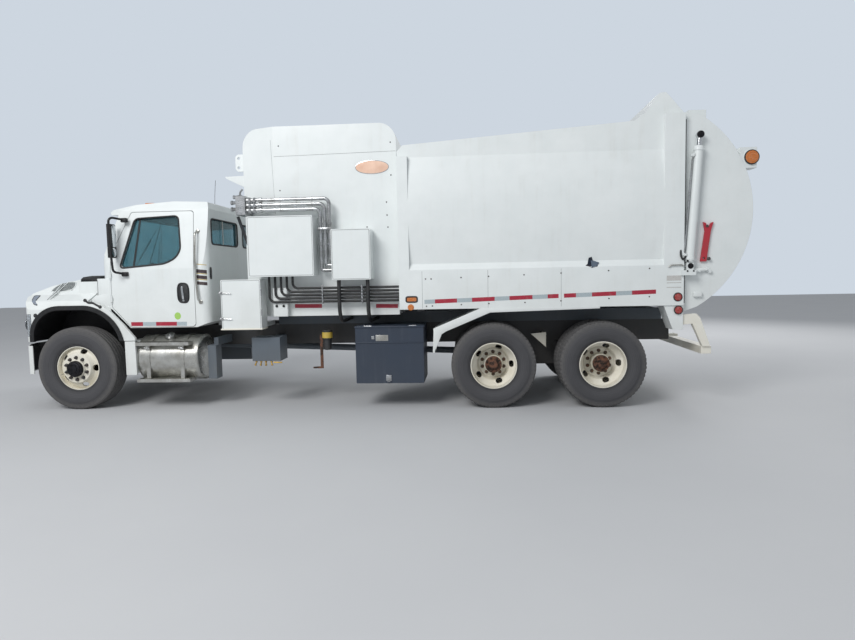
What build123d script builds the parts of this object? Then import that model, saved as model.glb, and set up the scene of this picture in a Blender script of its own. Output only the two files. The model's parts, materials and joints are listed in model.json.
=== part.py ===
from build123d import *
import math
import os

# Side-loading refuse truck. Millimetres, X rearward, Y to the truck's right, Z up.
# The origin is on the ground, on the centreline, halfway along the truck.

os.makedirs("parts", exist_ok=True)

# Lengths that reach past every piece, for cuts that go right through
past_length = 6000
past_width = 1400
past_height = 5000

# Axles and tyres
front_axle_x = -3795
rear_axle_xs = (1566, 2886)
front_tyre_radius = 538
front_tyre_width = 312
front_wheel_y = 1044
rear_tyre_radius = 525
rear_tyre_width = 279
rear_wheel_y = 909
dual_spacing = 343
rim_radius = 286
rim_width = 220
rim_wall = 12
wheel_offset = 167
hand_hole_circle = 225
hand_hole_length = 84
hand_hole_width = 54
hand_hole_count = 5
hand_hole_reach = 700
hub_radius = 115
bearing_radius = 45
bearing_clearance = 0.5

# Chassis frame
rail_outer_y = 432
rail_height = 270
rail_flange = 90
rail_wall = 10
rail_top_z = 1016
rail_front_x = -4380
rail_rear_x = 3900
cross_member_xs = (-4335, -2500, -1000, 700, 2226, 3600)
cross_member_radius = 50
sill_member_xs = (-600, 600, 1700, 2800, 3700)
sill_member_length = 100
sill_width = 80
sill_top_z = 1165
sill_front_x = -1350
sill_rear_x = 3800

# Steering
kingpin_y = 860
kingpin_radius = 24
axle_eye_radius = 48
axle_eye_height = 120
knuckle_ear = 30
knuckle_gap = 1
backplate_radius = 195

# Cab
cab_half_width = 1130
cab_front_x = -3560
cab_rear_x = -2020
cab_floor_z = 1050
cab_roof_z = 2665
cab_wall = 60
cowl_z = 1745
footwell_z = 1364
visor_half_width = 960
belt_z = 1800
door_front_x = -3300
door_rear_x = -2204
door_top_z = 2540
door_gap = 6
door_taper = 6
glass_thickness = 6
glass_inset = 22

# Hood
hood_rear_x = -3578
hood_nose_x = -4620
hood_half_width = 1190
hood_bottom_z = 890
hood_wall = 28
hood_crown_z = 1745
fender_top_z = 1430
hood_fillet = 18
shoulder_fillet = 40
nose_fillet = 80
arch_front_x = -4392
arch_rear_x = -3127
arch_top_z = 1350
arch_front_radius = 400
arch_rear_radius = 560
flare_width = 55

# Hood hinge: a barrel on the hood between two ears in front of each rail
hood_hinge_x = -4560
hood_hinge_y = rail_outer_y - 60
hood_hinge_z = 900
hood_hinge_radius = 20
hood_hinge_length = 60
hood_pin_radius = 10
hood_ear_wall = 12
ear_offset = 37
ear_foot = 60

# Engine
engine_x = -3960
engine_z = 1060
engine_length = 640
engine_width = 600
engine_height = 640
engine_mount_length = 100
engine_mount_height = 40

# Front bumper
bumper_front_x = -4665
bumper_bottom_z = 465
bumper_top_z = 835
bumper_wall = 12
bumper_half_width = 1150
bumper_flat_y = 520
bumper_knee_y = 900
bumper_knee_setback = 40
bumper_corner_setback = 205
bumper_return = 60
bumper_arm_z = 700
bumper_arm_width = 60
bumper_arm_height = 150

# Hopper
hopper_front_x = -1600
hopper_rear_x = 400
hopper_left_y = -1030
hopper_right_y = 850
hopper_top_z = 3540
hopper_corner = 220
hopper_wall = 60
bevel_front_x = -1150
bevel_depth = 160
packer_front_x = -880
packer_length = 260
packer_height = 700
slide_gap = 0.3

# Body
body_front_x = 420
body_rear_x = 3820
body_half_width = 1220
body_front_top_z = 3230
body_rear_top_z = 3420
body_wall = 50
skirt_bottom_z = 1235
skirt_inset = 5
fold_z = 1715
waist_z = 1790
waist_inset = 55
belly_z = 2400
shoulder_z = 3080
shoulder_inset = 62
front_chamfer = 75
front_post_length = 130
post_depth = 190
body_top_corner_z = 3490
gate_bolster_x = body_rear_x - 530
gate_bolster_z = 3720
pillar_front_x = body_rear_x - 230
pillar_bottom_z = 945

# Tailgate
gate_front_x = body_rear_x + 12
gate_half_width = body_half_width - 90
gate_wall = 50
gate_hinge_x = body_rear_x + 16
gate_hinge_z = 3560
gate_lug_radius = 48
gate_pin_radius = 25
gate_lug_y = 760
gate_lug_wall = 40
gate_bottom_z = 1200
gate_top_z = 3500
gate_bulge_z = 2290
gate_rear_x = body_rear_x + 814
rear_end_x = body_rear_x + 845
gate_cylinder_y = body_half_width - 30
gate_cylinder_radius = 52
gate_rod_radius = 28
lower_pin_x = body_rear_x + 65
lower_pin_z = 1700
upper_pin_x = body_rear_x + 170
upper_pin_z = 3225
lower_pin_radius = 20
upper_pin_radius = 24
lower_eye_radius = 38
upper_eye_radius = 42

# Lifting arm
arm_x = -1185
arm_beam_width = 220
arm_beam_height = 200
arm_beam_z = 1305.3
arm_mast_y = 880
arm_mast_wall = 40
arm_pivot_y = 985
arm_pivot_z = 1800
arm_pivot_radius = 40
arm_width = 170
gripper_z = 850
gripper_half_span = 260
finger_height = 150
finger_wall = 30
finger_pin_radius = 22


def save(piece, name):
    """Label one finished piece and write its STEP file."""
    piece.part.label = name
    export_step(piece.part, f"parts/{name}.step")


def wheel_plane(x, y, z, side):
    """Local x points outboard and local y up, at a wheel's centre."""
    return Plane(origin=(x, side * y, z), x_dir=(0, side, 0), z_dir=(side, 0, 0))


def wheel_axis(x, z):
    """The line a wheel turns about."""
    return Axis((x, 0, z), (0, 1, 0))


# Chassis frame: two channel rails joined by round cross members
with BuildPart() as frame_rails:
    for side in (-1, 1):
        with BuildSketch(Plane.YZ.offset(rail_front_x)):
            with Locations((side * (rail_outer_y - rail_flange / 2), rail_top_z - rail_height / 2)):
                Rectangle(rail_flange, rail_height)
            channel_y = side * (rail_outer_y - rail_flange / 2 - rail_wall)
            with Locations((channel_y, rail_top_z - rail_height / 2)):
                Rectangle(rail_flange, rail_height - 2 * rail_wall, mode=Mode.SUBTRACT)
        extrude(amount=rail_rear_x - rail_front_x)
    for x in cross_member_xs:
        with Locations(Location((x, 0, rail_top_z - rail_height / 2), (90, 0, 0))):
            Cylinder(cross_member_radius, 2 * (rail_outer_y - rail_wall))
save(frame_rails, "frame_rails")

# Sub-frame sills that carry the hopper and the body on the rails
with BuildPart() as body_subframe:
    for side in (-1, 1):
        with BuildSketch(Plane.XY.offset(rail_top_z)):
            with Locations(((sill_front_x + sill_rear_x) / 2, side * (rail_outer_y - sill_width / 2))):
                Rectangle(sill_rear_x - sill_front_x, sill_width)
        extrude(amount=sill_top_z - rail_top_z)
    for x in sill_member_xs:
        with Locations((x, 0, (rail_top_z + sill_top_z) / 2 + rail_wall)):
            Box(sill_member_length, 2 * (rail_outer_y - sill_width), sill_top_z - rail_top_z - 2 * rail_wall)
save(body_subframe, "body_subframe")

# Front axle beam with its two leaf packs
axle_beam_length = 90
axle_beam_height = 110
leaf_y = 392
leaf_width = 80
leaf_front_reach = 480
leaf_rear_reach = 640
leaf_seat = 60
leaf_thickness = 90
leaf_eye_length = 80
leaf_drop = 60
rail_bottom_z = rail_top_z - rail_height
with BuildPart() as front_axle:
    with BuildSketch(Plane.XZ):
        with Locations((front_axle_x, front_tyre_radius - 60)):
            Rectangle(axle_beam_length, axle_beam_height)
    extrude(amount=kingpin_y - 60, both=True)
    for side in (-1, 1):
        with Locations((front_axle_x, side * kingpin_y, front_tyre_radius)):
            Cylinder(axle_eye_radius, axle_eye_height)
        with Locations((front_axle_x, side * (kingpin_y - 90), front_tyre_radius)):
            Box(axle_beam_length, 60, axle_eye_height - 6)
        with Locations((front_axle_x, side * (kingpin_y - 45), front_tyre_radius)):
            Box(axle_beam_length - 20, 60, axle_eye_height - 6)
        with BuildSketch(Plane.XZ.offset(side * leaf_y - leaf_width / 2)):
            front_end = front_axle_x - leaf_front_reach
            rear_end = front_axle_x + leaf_rear_reach
            leaf_low = front_tyre_radius - 5
            with BuildLine():
                Polyline(
                    (front_end, rail_bottom_z - leaf_drop),
                    (front_axle_x - leaf_seat, leaf_low),
                    (front_axle_x + leaf_seat, leaf_low),
                    (rear_end, rail_bottom_z - leaf_drop),
                    (rear_end, rail_bottom_z),
                    (rear_end - leaf_eye_length, rail_bottom_z),
                    (rear_end - leaf_eye_length, rail_bottom_z - leaf_drop + 15),
                    (front_axle_x + leaf_seat, leaf_low + leaf_thickness),
                    (front_axle_x - leaf_seat, leaf_low + leaf_thickness),
                    (front_end + leaf_eye_length - 30, rail_bottom_z - leaf_drop + 15),
                    (front_end + leaf_eye_length - 30, rail_bottom_z),
                    (front_end, rail_bottom_z),
                    close=True,
                )
            make_face()
        extrude(amount=leaf_width)
    for side in (-1, 1):
        with Locations((front_axle_x, side * kingpin_y, front_tyre_radius)):
            Hole(kingpin_radius + bearing_clearance)
save(front_axle, "front_axle")

# Rear tandem: two axle tubes with differential housings on two walking beams
with BuildPart() as rear_axles:
    for x in rear_axle_xs:
        with BuildSketch(Plane(origin=(x, 0, rear_tyre_radius), x_dir=(0, 1, 0), z_dir=(1, 0, 0))):
            with BuildLine():
                Polyline(
                    (-540, 0), (-540, 70), (-260, 90), (-150, 210), (150, 210),
                    (260, 90), (540, 70), (540, 0), close=True,
                )
            make_face()
        revolve(axis=wheel_axis(x, rear_tyre_radius))
        for side in (-1, 1):
            with Locations(Location((x, side * 700, rear_tyre_radius), (90, 0, 0))):
                Cylinder(bearing_radius, 400)
    for side in (-1, 1):
        with BuildSketch(Plane.XZ.offset(side * 387 - 45)):
            with BuildLine():
                Polyline(
                    (rear_axle_xs[0] - 60, rear_tyre_radius - 90),
                    (rear_axle_xs[1] + 60, rear_tyre_radius - 90),
                    (rear_axle_xs[1] + 60, rear_tyre_radius + 60),
                    ((rear_axle_xs[0] + rear_axle_xs[1]) / 2 + 160, rail_top_z - rail_height),
                    ((rear_axle_xs[0] + rear_axle_xs[1]) / 2 - 160, rail_top_z - rail_height),
                    (rear_axle_xs[0] - 60, rear_tyre_radius + 60),
                    close=True,
                )
            make_face()
        extrude(amount=90)
save(rear_axles, "rear_axles")


def build_knuckle(side, name):
    """Steering knuckle: kingpin, two ears, a web and the spindle with its back plate."""
    ear_z = axle_eye_height / 2 + knuckle_gap
    spindle_end = front_wheel_y + wheel_offset - 60
    with BuildPart() as knuckle:
        for up in (-1, 1):
            ear_centre = front_tyre_radius + up * (ear_z + knuckle_ear / 2)
            with Locations((front_axle_x, side * kingpin_y, ear_centre)):
                Cylinder(axle_eye_radius, knuckle_ear)
            with Locations((front_axle_x, side * (kingpin_y + 45), ear_centre)):
                Box(2 * axle_eye_radius, 90, knuckle_ear)
        with Locations((front_axle_x, side * kingpin_y, front_tyre_radius)):
            Cylinder(kingpin_radius, 2 * ear_z + knuckle_ear)
        with Locations((front_axle_x, side * (kingpin_y + 75), front_tyre_radius)):
            Box(2 * axle_eye_radius, 40, 2 * (ear_z + knuckle_ear))
        with Locations(Location((front_axle_x, side * (kingpin_y + 100), front_tyre_radius), (90, 0, 0))):
            Cylinder(backplate_radius, 10)
        spindle_start = kingpin_y + 90
        with Locations(
            Location((front_axle_x, side * (spindle_start + spindle_end) / 2, front_tyre_radius), (90, 0, 0))
        ):
            Cylinder(bearing_radius, spindle_end - spindle_start)
    save(knuckle, name)


def tyre_section(radius, width):
    """Half of a tyre's cross-section, as (outboard, radius) points from bead to tread."""
    return (
        (-0.38 * width, rim_radius),
        (-0.44 * width, rim_radius + 25),
        (-0.50 * width, (radius + rim_radius) / 2),
        (-0.47 * width, radius - 50),
        (-0.42 * width, radius - 12),
        (-0.38 * width, radius),
        (0.38 * width, radius),
        (0.42 * width, radius - 12),
        (0.47 * width, radius - 50),
        (0.50 * width, (radius + rim_radius) / 2),
        (0.44 * width, rim_radius + 25),
        (0.38 * width, rim_radius),
    )


def build_tyres(x, radius, width, centres, side, name):
    """One solid ring for each tyre on this end of the axle."""
    with BuildPart() as tyres:
        for y in centres:
            with BuildSketch(wheel_plane(x, y, radius, side)):
                with BuildLine():
                    Polyline(*tyre_section(radius, width), close=True)
                make_face()
            revolve(axis=wheel_axis(x, radius))
    save(tyres, name)


def build_rims(x, radius, wheels, side, hub_inner, hub_outer, name):
    """Rims with their dished discs, and the hub that the wheel bearings carry."""
    half = rim_width / 2
    inner = rim_radius - rim_wall
    with BuildPart() as rims:
        for y, face in wheels:
            toward = 1 if face > y else -1
            disc_start = (half - 70) * toward
            disc_mid = (half - 20) * toward
            with BuildSketch(wheel_plane(x, y, radius, side)):
                with BuildLine():
                    Polyline(
                        (-half, inner), (-half, rim_radius - 1), (half, rim_radius - 1), (half, inner),
                        close=True,
                    )
                make_face()
                with BuildLine():
                    Polyline(
                        (disc_start, inner + 2),
                        (disc_mid, 215),
                        (face - y, 185),
                        (face - y, hub_radius - 5),
                        (face - y - toward * rim_wall, hub_radius - 5),
                        (face - y - toward * rim_wall, 180),
                        (disc_mid - toward * rim_wall, 208),
                        (disc_start - toward * 2 * rim_wall, inner + 2),
                        close=True,
                    )
                make_face()
            revolve(axis=wheel_axis(x, radius))
        with BuildSketch(wheel_plane(x, 0, radius, side)):
            with BuildLine():
                Polyline(
                    (hub_inner, bearing_radius + bearing_clearance),
                    (hub_inner, hub_radius),
                    (hub_outer - 60, hub_radius),
                    (hub_outer, hub_radius - 40),
                    (hub_outer, 0),
                    (hub_outer - 40, 0),
                    (hub_outer - 40, bearing_radius + bearing_clearance),
                    close=True,
                )
            make_face()
        revolve(axis=wheel_axis(x, radius))
        hole_start = (x, side * (hub_inner - 60), radius)
        with BuildSketch(Plane(origin=hole_start, x_dir=(1, 0, 0), z_dir=(0, side, 0))):
            with PolarLocations(hand_hole_circle, hand_hole_count):
                SlotOverall(hand_hole_length, hand_hole_width, rotation=90)
        extrude(amount=hand_hole_reach, mode=Mode.SUBTRACT)
    save(rims, name)


sides = ((-1, "left"), (1, "right"))
front_face = front_wheel_y + wheel_offset - 30
for side, word in sides:
    build_knuckle(side, f"knuckle_{word}")
    build_tyres(
        front_axle_x, front_tyre_radius, front_tyre_width, [front_wheel_y], side, f"tyre_front_{word}",
    )
    build_rims(
        front_axle_x, front_tyre_radius, [(front_wheel_y, front_face)], side,
        kingpin_y + 130, front_face + 70, f"rim_front_{word}",
    )
    for number, x in enumerate(rear_axle_xs, start=1):
        centres = [rear_wheel_y - dual_spacing / 2, rear_wheel_y + dual_spacing / 2]
        build_tyres(x, rear_tyre_radius, rear_tyre_width, centres, side, f"tyre_rear_{number}_{word}")
        duals = [(centres[0], rear_wheel_y), (centres[1], rear_wheel_y)]
        build_rims(
            x, rear_tyre_radius, duals, side, rear_wheel_y - 300, rear_wheel_y + 170,
            f"rim_rear_{number}_{word}",
        )

# Engine, as one plain block at its real place
with BuildPart() as engine_block:
    with Locations((engine_x, 0, engine_z)):
        Box(engine_length, engine_width, engine_height)
    with Locations((engine_x + engine_length / 2 - 60, 0, rail_top_z + engine_mount_height / 2)):
        Box(engine_mount_length, 2 * rail_outer_y - 60, engine_mount_height)
save(engine_block, "engine_block")

# Front bumper: a bent steel face with ends that wrap round the corners
corner_x = bumper_front_x + bumper_corner_setback
with BuildPart() as front_bumper:
    with BuildSketch(Plane.XY.offset(bumper_bottom_z)):
        with BuildLine():
            FilletPolyline(
                (corner_x + bumper_return, -bumper_half_width),
                (corner_x, -bumper_half_width),
                (bumper_front_x + bumper_knee_setback, -bumper_knee_y),
                (bumper_front_x, -bumper_flat_y),
                (bumper_front_x, bumper_flat_y),
                (bumper_front_x + bumper_knee_setback, bumper_knee_y),
                (corner_x, bumper_half_width),
                (corner_x + bumper_return, bumper_half_width),
                radius=40,
            )
            offset(amount=-bumper_wall, side=Side.RIGHT)
        make_face()
    extrude(amount=bumper_top_z - bumper_bottom_z)
    for side in (-1, 1):
        arm_front_x = bumper_front_x + bumper_wall
        with Locations(((arm_front_x + rail_front_x) / 2, side * hood_hinge_y, bumper_arm_z)):
            Box(rail_front_x - arm_front_x, bumper_arm_width, bumper_arm_height)
        for ear_y in (side * hood_hinge_y - ear_offset, side * hood_hinge_y + ear_offset):
            with BuildSketch(Plane.XZ.offset(-ear_y - hood_ear_wall / 2)):
                with BuildLine():
                    Polyline(
                        (rail_front_x - 6, hood_hinge_z - 125),
                        (rail_front_x - 6, hood_hinge_z + 30),
                        (hood_hinge_x + 5, hood_hinge_z + 20),
                        (hood_hinge_x - 16, hood_hinge_z + 10),
                        (hood_hinge_x - 16, hood_hinge_z - 12),
                        (hood_hinge_x, hood_hinge_z - 20),
                        (hood_hinge_x + 80, hood_hinge_z - 90),
                        (hood_hinge_x + 120, hood_hinge_z - 130),
                        close=True,
                    )
                make_face()
            extrude(amount=hood_ear_wall)
        with Locations((rail_front_x - ear_foot / 2, side * hood_hinge_y, hood_hinge_z - 128)):
            Box(ear_foot, 2 * ear_offset + hood_ear_wall, 20)
        with Locations(Location((hood_hinge_x, side * hood_hinge_y, hood_hinge_z), (90, 0, 0))):
            Cylinder(hood_pin_radius, 2 * ear_offset + hood_ear_wall)
save(front_bumper, "front_bumper")

# Hood: three views carve the outside, the same three views less the wall carve the inside


def hood_side_view(inset):
    """Hood and fender as seen from the side, without the wheel arch."""
    with BuildSketch(Plane.XZ) as view:
        with BuildLine():
            FilletPolyline(
                (hood_rear_x, hood_crown_z - inset),
                (hood_rear_x - 330, hood_crown_z - 45 - inset),
                (hood_nose_x + 330, 1610 - inset),
                (hood_nose_x + 115 + inset / 2, 1510 - inset),
                (hood_nose_x + 30 + inset, 1330 - inset),
                (hood_nose_x + inset, 1100),
                (hood_nose_x + inset + 20, hood_bottom_z - 200),
                (-2985 + inset, hood_bottom_z - 200),
                (-2990 - inset, 925),
                (-3133 - inset, 1094),
                (-3312 - inset, 1280 - inset / 2),
                (-3470 - inset, 1372 - inset),
                (hood_rear_x + 1, 1385 - inset),
                radius=hood_fillet,
                close=True,
            )
        make_face()
    return view.sketch


def hood_front_view(inset):
    """Hood and fenders as seen from the front: shoulders below, the raised hood above."""
    half = hood_half_width - inset
    with BuildSketch(Plane.YZ) as view:
        with BuildLine():
            FilletPolyline(
                (half, hood_bottom_z - 250),
                (half, fender_top_z - 120 - inset),
                (half - 50, fender_top_z - 20 - inset),
                (960 - inset, fender_top_z + 60 - inset),
                (840 - inset, 1600),
                (700 - inset, 1700 - inset / 2),
                (540, hood_crown_z - inset),
                (-540, hood_crown_z - inset),
                (-700 + inset, 1700 - inset / 2),
                (-840 + inset, 1600),
                (-960 + inset, fender_top_z + 60 - inset),
                (-half + 50, fender_top_z - 20 - inset),
                (-half, fender_top_z - 120 - inset),
                (-half, hood_bottom_z - 250),
                radius=shoulder_fillet,
                close=True,
            )
        make_face()
    return view.sketch


def hood_plan_view(inset):
    """Hood and fenders as seen from above: a bowed nose with rounded corners."""
    half = hood_half_width - inset
    with BuildSketch(Plane.XY) as view:
        with BuildLine():
            FilletPolyline(
                (-2900, -half), (hood_nose_x + 190, -half), (hood_nose_x + 35 + inset, -900),
                (hood_nose_x + inset, -350), (hood_nose_x + inset, 350),
                (hood_nose_x + 35 + inset, 900), (hood_nose_x + 190, half), (-2900, half),
                radius=nose_fillet, close=True,
            )
        make_face()
    return view.sketch


def hood_form(inset):
    """The closed solid that the three views have in common."""
    with BuildPart() as form:
        extrude(hood_side_view(inset), amount=past_width, both=True)
        extrude(hood_front_view(inset), amount=past_length, both=True, mode=Mode.INTERSECT)
        extrude(hood_plan_view(inset), amount=past_height, both=True, mode=Mode.INTERSECT)
        with Locations((0, 0, hood_bottom_z - past_height / 2)):
            Box(2 * past_length, 2 * past_width, past_height, mode=Mode.SUBTRACT)
    return form.part


def arch_view(grow):
    """The wheel arch from the side: a tight front shoulder and a long rear one."""
    front = arch_front_x - grow
    rear = arch_rear_x + grow
    top = arch_top_z + grow
    front_radius = arch_front_radius + grow
    rear_radius = arch_rear_radius + grow
    bend = 1 - math.sqrt(0.5)
    with BuildSketch(Plane.XZ) as view:
        with BuildLine():
            Line((front, hood_bottom_z - 600), (front, top - front_radius))
            ThreePointArc(
                (front, top - front_radius),
                (front + bend * front_radius, top - bend * front_radius),
                (front + front_radius, top),
            )
            Line((front + front_radius, top), (rear - rear_radius, top))
            ThreePointArc(
                (rear - rear_radius, top),
                (rear - bend * rear_radius, top - bend * rear_radius),
                (rear, top - rear_radius),
            )
            Line((rear, top - rear_radius), (rear, hood_bottom_z - 600))
            Line((rear, hood_bottom_z - 600), (front, hood_bottom_z - 600))
        make_face()
    return view.sketch


hood_outer = hood_form(0)
hood_inner = hood_form(hood_wall)
grille_half_width = 560
grille_bottom_z = 930
grille_top_z = 1330
lamp_inner_y = 640
lamp_bottom_z = 960
lamp_top_z = 1250
lamp_rear_x = hood_nose_x + 255
part_gap = 3

grille_depth = 400
grille_slot_pitch = 58
grille_slot_height = 30
lamp_length = lamp_rear_x - hood_nose_x
lamp_height = lamp_top_z - lamp_bottom_z
grille_height = grille_top_z - grille_bottom_z
lamp_middle = ((hood_nose_x + lamp_rear_x) / 2, (lamp_bottom_z + lamp_top_z) / 2)
grille_middle_z = (grille_bottom_z + grille_top_z) / 2
cab_bay_front_x = hood_rear_x - 40
cab_bay_length = 680
cab_bay_half_width = cab_half_width + 21

with BuildPart() as hood:
    add(hood_outer)
    add(hood_inner, mode=Mode.SUBTRACT)
    extrude(arch_view(0), amount=past_width, both=True, mode=Mode.SUBTRACT)
    with Locations((cab_bay_front_x + cab_bay_length / 2, 0, 1300)):
        Box(cab_bay_length, 2 * cab_bay_half_width, 1400, mode=Mode.SUBTRACT)
    for side in (-1, 1):
        with Locations((lamp_middle[0], side * (lamp_inner_y + past_width) / 2, lamp_middle[1])):
            Box(lamp_length, past_width - lamp_inner_y, lamp_height, mode=Mode.SUBTRACT)
    with Locations((hood_nose_x, 0, grille_middle_z)):
        Box(grille_depth, 2 * grille_half_width, grille_height, mode=Mode.SUBTRACT)
    for side in (-1, 1):
        with Locations(((hood_nose_x + hood_hinge_x) / 2, side * hood_hinge_y, hood_hinge_z + 8)):
            Box(hood_hinge_x - hood_nose_x - 10, hood_hinge_length, 24)
        with Locations(Location((hood_hinge_x, side * hood_hinge_y, hood_hinge_z), (90, 0, 0))):
            Cylinder(hood_hinge_radius, hood_hinge_length)
            Cylinder(hood_pin_radius + bearing_clearance, hood_hinge_length + 10, mode=Mode.SUBTRACT)
save(hood, "hood")

# Arch liners with their flares, in black plastic on the hood
liner_inner_y = 560
liner_wall = 12
flare_proud = 12
flare_depth = 40
flare_inner_y = hood_half_width + flare_proud - flare_depth
with BuildPart() as fender_flares:
    extrude(arch_view(0), amount=flare_inner_y - 0.5, both=True)
    extrude(arch_view(-liner_wall), amount=past_width, both=True, mode=Mode.SUBTRACT)
    for side in (-1, 1):
        with Locations((0, side * (liner_inner_y + liner_wall / 2), 0)):
            with BuildPart(mode=Mode.PRIVATE) as inner_wall:
                extrude(arch_view(-liner_wall / 2), amount=liner_wall / 2, both=True)
            add(inner_wall.part)
    with Locations((cab_bay_front_x + past_length / 2, 0, 0)):
        Box(past_length, 2 * past_width, past_height, mode=Mode.SUBTRACT)
    with BuildPart(mode=Mode.PRIVATE) as lips:
        extrude(arch_view(0), amount=hood_half_width + flare_proud, both=True)
        extrude(arch_view(-flare_width), amount=past_width, both=True, mode=Mode.SUBTRACT)
        with Locations((front_axle_x, 0, 0)):
            Box(past_length, 2 * flare_inner_y, past_height, mode=Mode.SUBTRACT)
    add(lips.part)
    with Locations((front_axle_x, 0, 0)):
        Box(past_length, 2 * liner_inner_y, past_height, mode=Mode.SUBTRACT)
    with Locations((front_axle_x, 0, hood_bottom_z - past_height / 2)):
        Box(past_length, 2 * past_width, past_height, mode=Mode.SUBTRACT)
save(fender_flares, "fender_flares")

with BuildPart() as headlamps:
    add(hood_outer)
    add(hood_inner, mode=Mode.SUBTRACT)
    with Locations((lamp_middle[0] - part_gap, 0, lamp_middle[1])):
        Box(lamp_length - part_gap, 2 * past_width, lamp_height, mode=Mode.INTERSECT)
    with Locations((hood_nose_x, 0, lamp_middle[1])):
        Box(4 * lamp_length, 2 * (lamp_inner_y + part_gap), 2 * lamp_height, mode=Mode.SUBTRACT)
    extrude(arch_view(part_gap), amount=past_width, both=True, mode=Mode.SUBTRACT)
save(headlamps, "headlamps")

with BuildPart() as grille:
    add(hood_outer)
    add(hood_inner, mode=Mode.SUBTRACT)
    with Locations((hood_nose_x, 0, grille_middle_z)):
        Box(grille_depth - 10, 2 * grille_half_width, grille_height - 2 * part_gap, mode=Mode.INTERSECT)
    for z in range(grille_bottom_z + 55, grille_top_z - 40, grille_slot_pitch):
        with Locations((hood_nose_x, 0, z)):
            Box(2 * grille_depth, 2 * grille_half_width - 80, grille_slot_height, mode=Mode.SUBTRACT)
save(grille, "grille")

# Cab: carved like the hood, then split into shell, doors and glass


def cab_side_view(inset):
    """Cab as seen from the side."""
    with BuildSketch(Plane.XZ) as view:
        with BuildLine():
            Polyline(
                (cab_front_x + inset, cowl_z - inset),
                (cab_front_x + 90 + inset, cowl_z + 12 - inset),
                (-3190 + inset, 2535 - inset),
                (-2990, 2630 - inset),
                (-2500, cab_roof_z - inset),
                (cab_rear_x - 30, cab_roof_z - 20 - inset),
                (cab_rear_x - inset, cab_roof_z - 110 - inset),
                (cab_rear_x - inset, cab_floor_z + 60 + inset),
                (cab_rear_x - 170 - inset, cab_floor_z + inset),
                (-3070 + inset, cab_floor_z + inset),
                (door_front_x + inset, 1290 + inset),
                (door_front_x - 120 + inset, footwell_z + inset),
                (cab_front_x + inset, footwell_z + inset),
                close=True,
            )
        make_face()
        inner_corners = view.vertices().filter_by(
            lambda v: cab_front_x + inset + 1 < v.X < cab_rear_x - inset - 1
        )
        fillet(inner_corners, radius=25)
    return view.sketch


def cab_front_view(inset):
    """Cab as seen from the front: upright below the belt, leaning in above it."""
    half = cab_half_width - inset
    with BuildSketch(Plane.YZ) as view:
        with BuildLine():
            Polyline(
                (half, cab_floor_z - 100), (half, belt_z), (half - 100, 2550 - inset),
                (half - 190, cab_roof_z - inset + 30), (-half + 190, cab_roof_z - inset + 30),
                (-half + 100, 2550 - inset), (-half, belt_z), (-half, cab_floor_z - 100), close=True,
            )
        make_face()
        fillet(view.vertices().filter_by(lambda v: v.Z > belt_z + 1), radius=60)
    return view.sketch


def cab_plan_view(inset):
    """Cab as seen from above: a bowed windscreen and round rear corners."""
    half = cab_half_width - inset
    with BuildSketch(Plane.XY) as view:
        with BuildLine():
            Polyline(
                (cab_rear_x - inset, half), (cab_front_x + 170, half), (cab_front_x + inset, 780),
                (cab_front_x + inset, -780), (cab_front_x + 170, -half), (cab_rear_x - inset, -half),
                close=True,
            )
        make_face()
        fillet(view.vertices().filter_by(lambda v: v.X < cab_rear_x - inset - 1), radius=150)
        fillet(view.vertices().sort_by(Axis.X)[-2:], radius=110 - inset / 2)
    return view.sketch


def cab_form(inset):
    """The closed solid that the three views of the cab have in common."""
    with BuildPart() as form:
        extrude(cab_side_view(inset), amount=past_width, both=True)
        extrude(cab_front_view(inset), amount=past_length, both=True, mode=Mode.INTERSECT)
        extrude(cab_plan_view(inset), amount=past_height, both=True, mode=Mode.INTERSECT)
    return form.part


def door_block(side, gap):
    """A plug that cuts the door, or with a gap its opening, through the cab's side."""
    with BuildPart() as block:
        door_origin = (0, side * (cab_half_width + 20), 0)
        with BuildSketch(Plane(origin=door_origin, x_dir=(1, 0, 0), z_dir=(0, -1, 0))):
            with BuildLine():
                FilletPolyline(
                    (door_front_x - gap, 1985), (-3040 - gap, door_top_z + gap),
                    (door_rear_x + gap, door_top_z + gap), (door_rear_x + gap, cab_floor_z + 8 - gap),
                    (-3060 - gap, cab_floor_z + 8 - gap), (door_front_x - gap, 1322 - gap),
                    radius=50, close=True,
                )
            make_face()
        extrude(amount=side * 280, taper=door_taper)
        with Locations((-2750, 0, 1100)):
            Box(1400, 2 * (cab_half_width - cab_wall - gap), 400, mode=Mode.SUBTRACT)
        with Locations((-2750, 0, 1800)):
            Box(1600, 2 * (cab_half_width - 105 - cab_wall - gap), 1800, mode=Mode.SUBTRACT)
    return block.part


def door_window_block(side, inset):
    """The door's window, right through the door."""
    with BuildPart() as block:
        with BuildSketch(Plane.XZ):
            with BuildLine():
                FilletPolyline(
                    (-3175 + inset, 1818 + inset), (-2985 + inset, 2445 - inset),
                    (-2415 - inset, 2470 - inset), (-2378 - inset, 2040), (-2440 - inset, 1935 + inset),
                    (-2580, 1866 + inset), radius=45, close=True,
                )
            make_face()
        extrude(amount=-side * past_width)
    return block.part


cab_outer = cab_form(0)
cab_inner = cab_form(cab_wall)
glass_outer = cab_form(glass_inset)
glass_inner = cab_form(glass_inset + glass_thickness)
screen_lower_z = 1800
screen_upper_z = 2490
screen_half_width = 960
rear_window_inner_y = 90
rear_window_outer_y = 985
rear_window_z = (2098, 2440)


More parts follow.
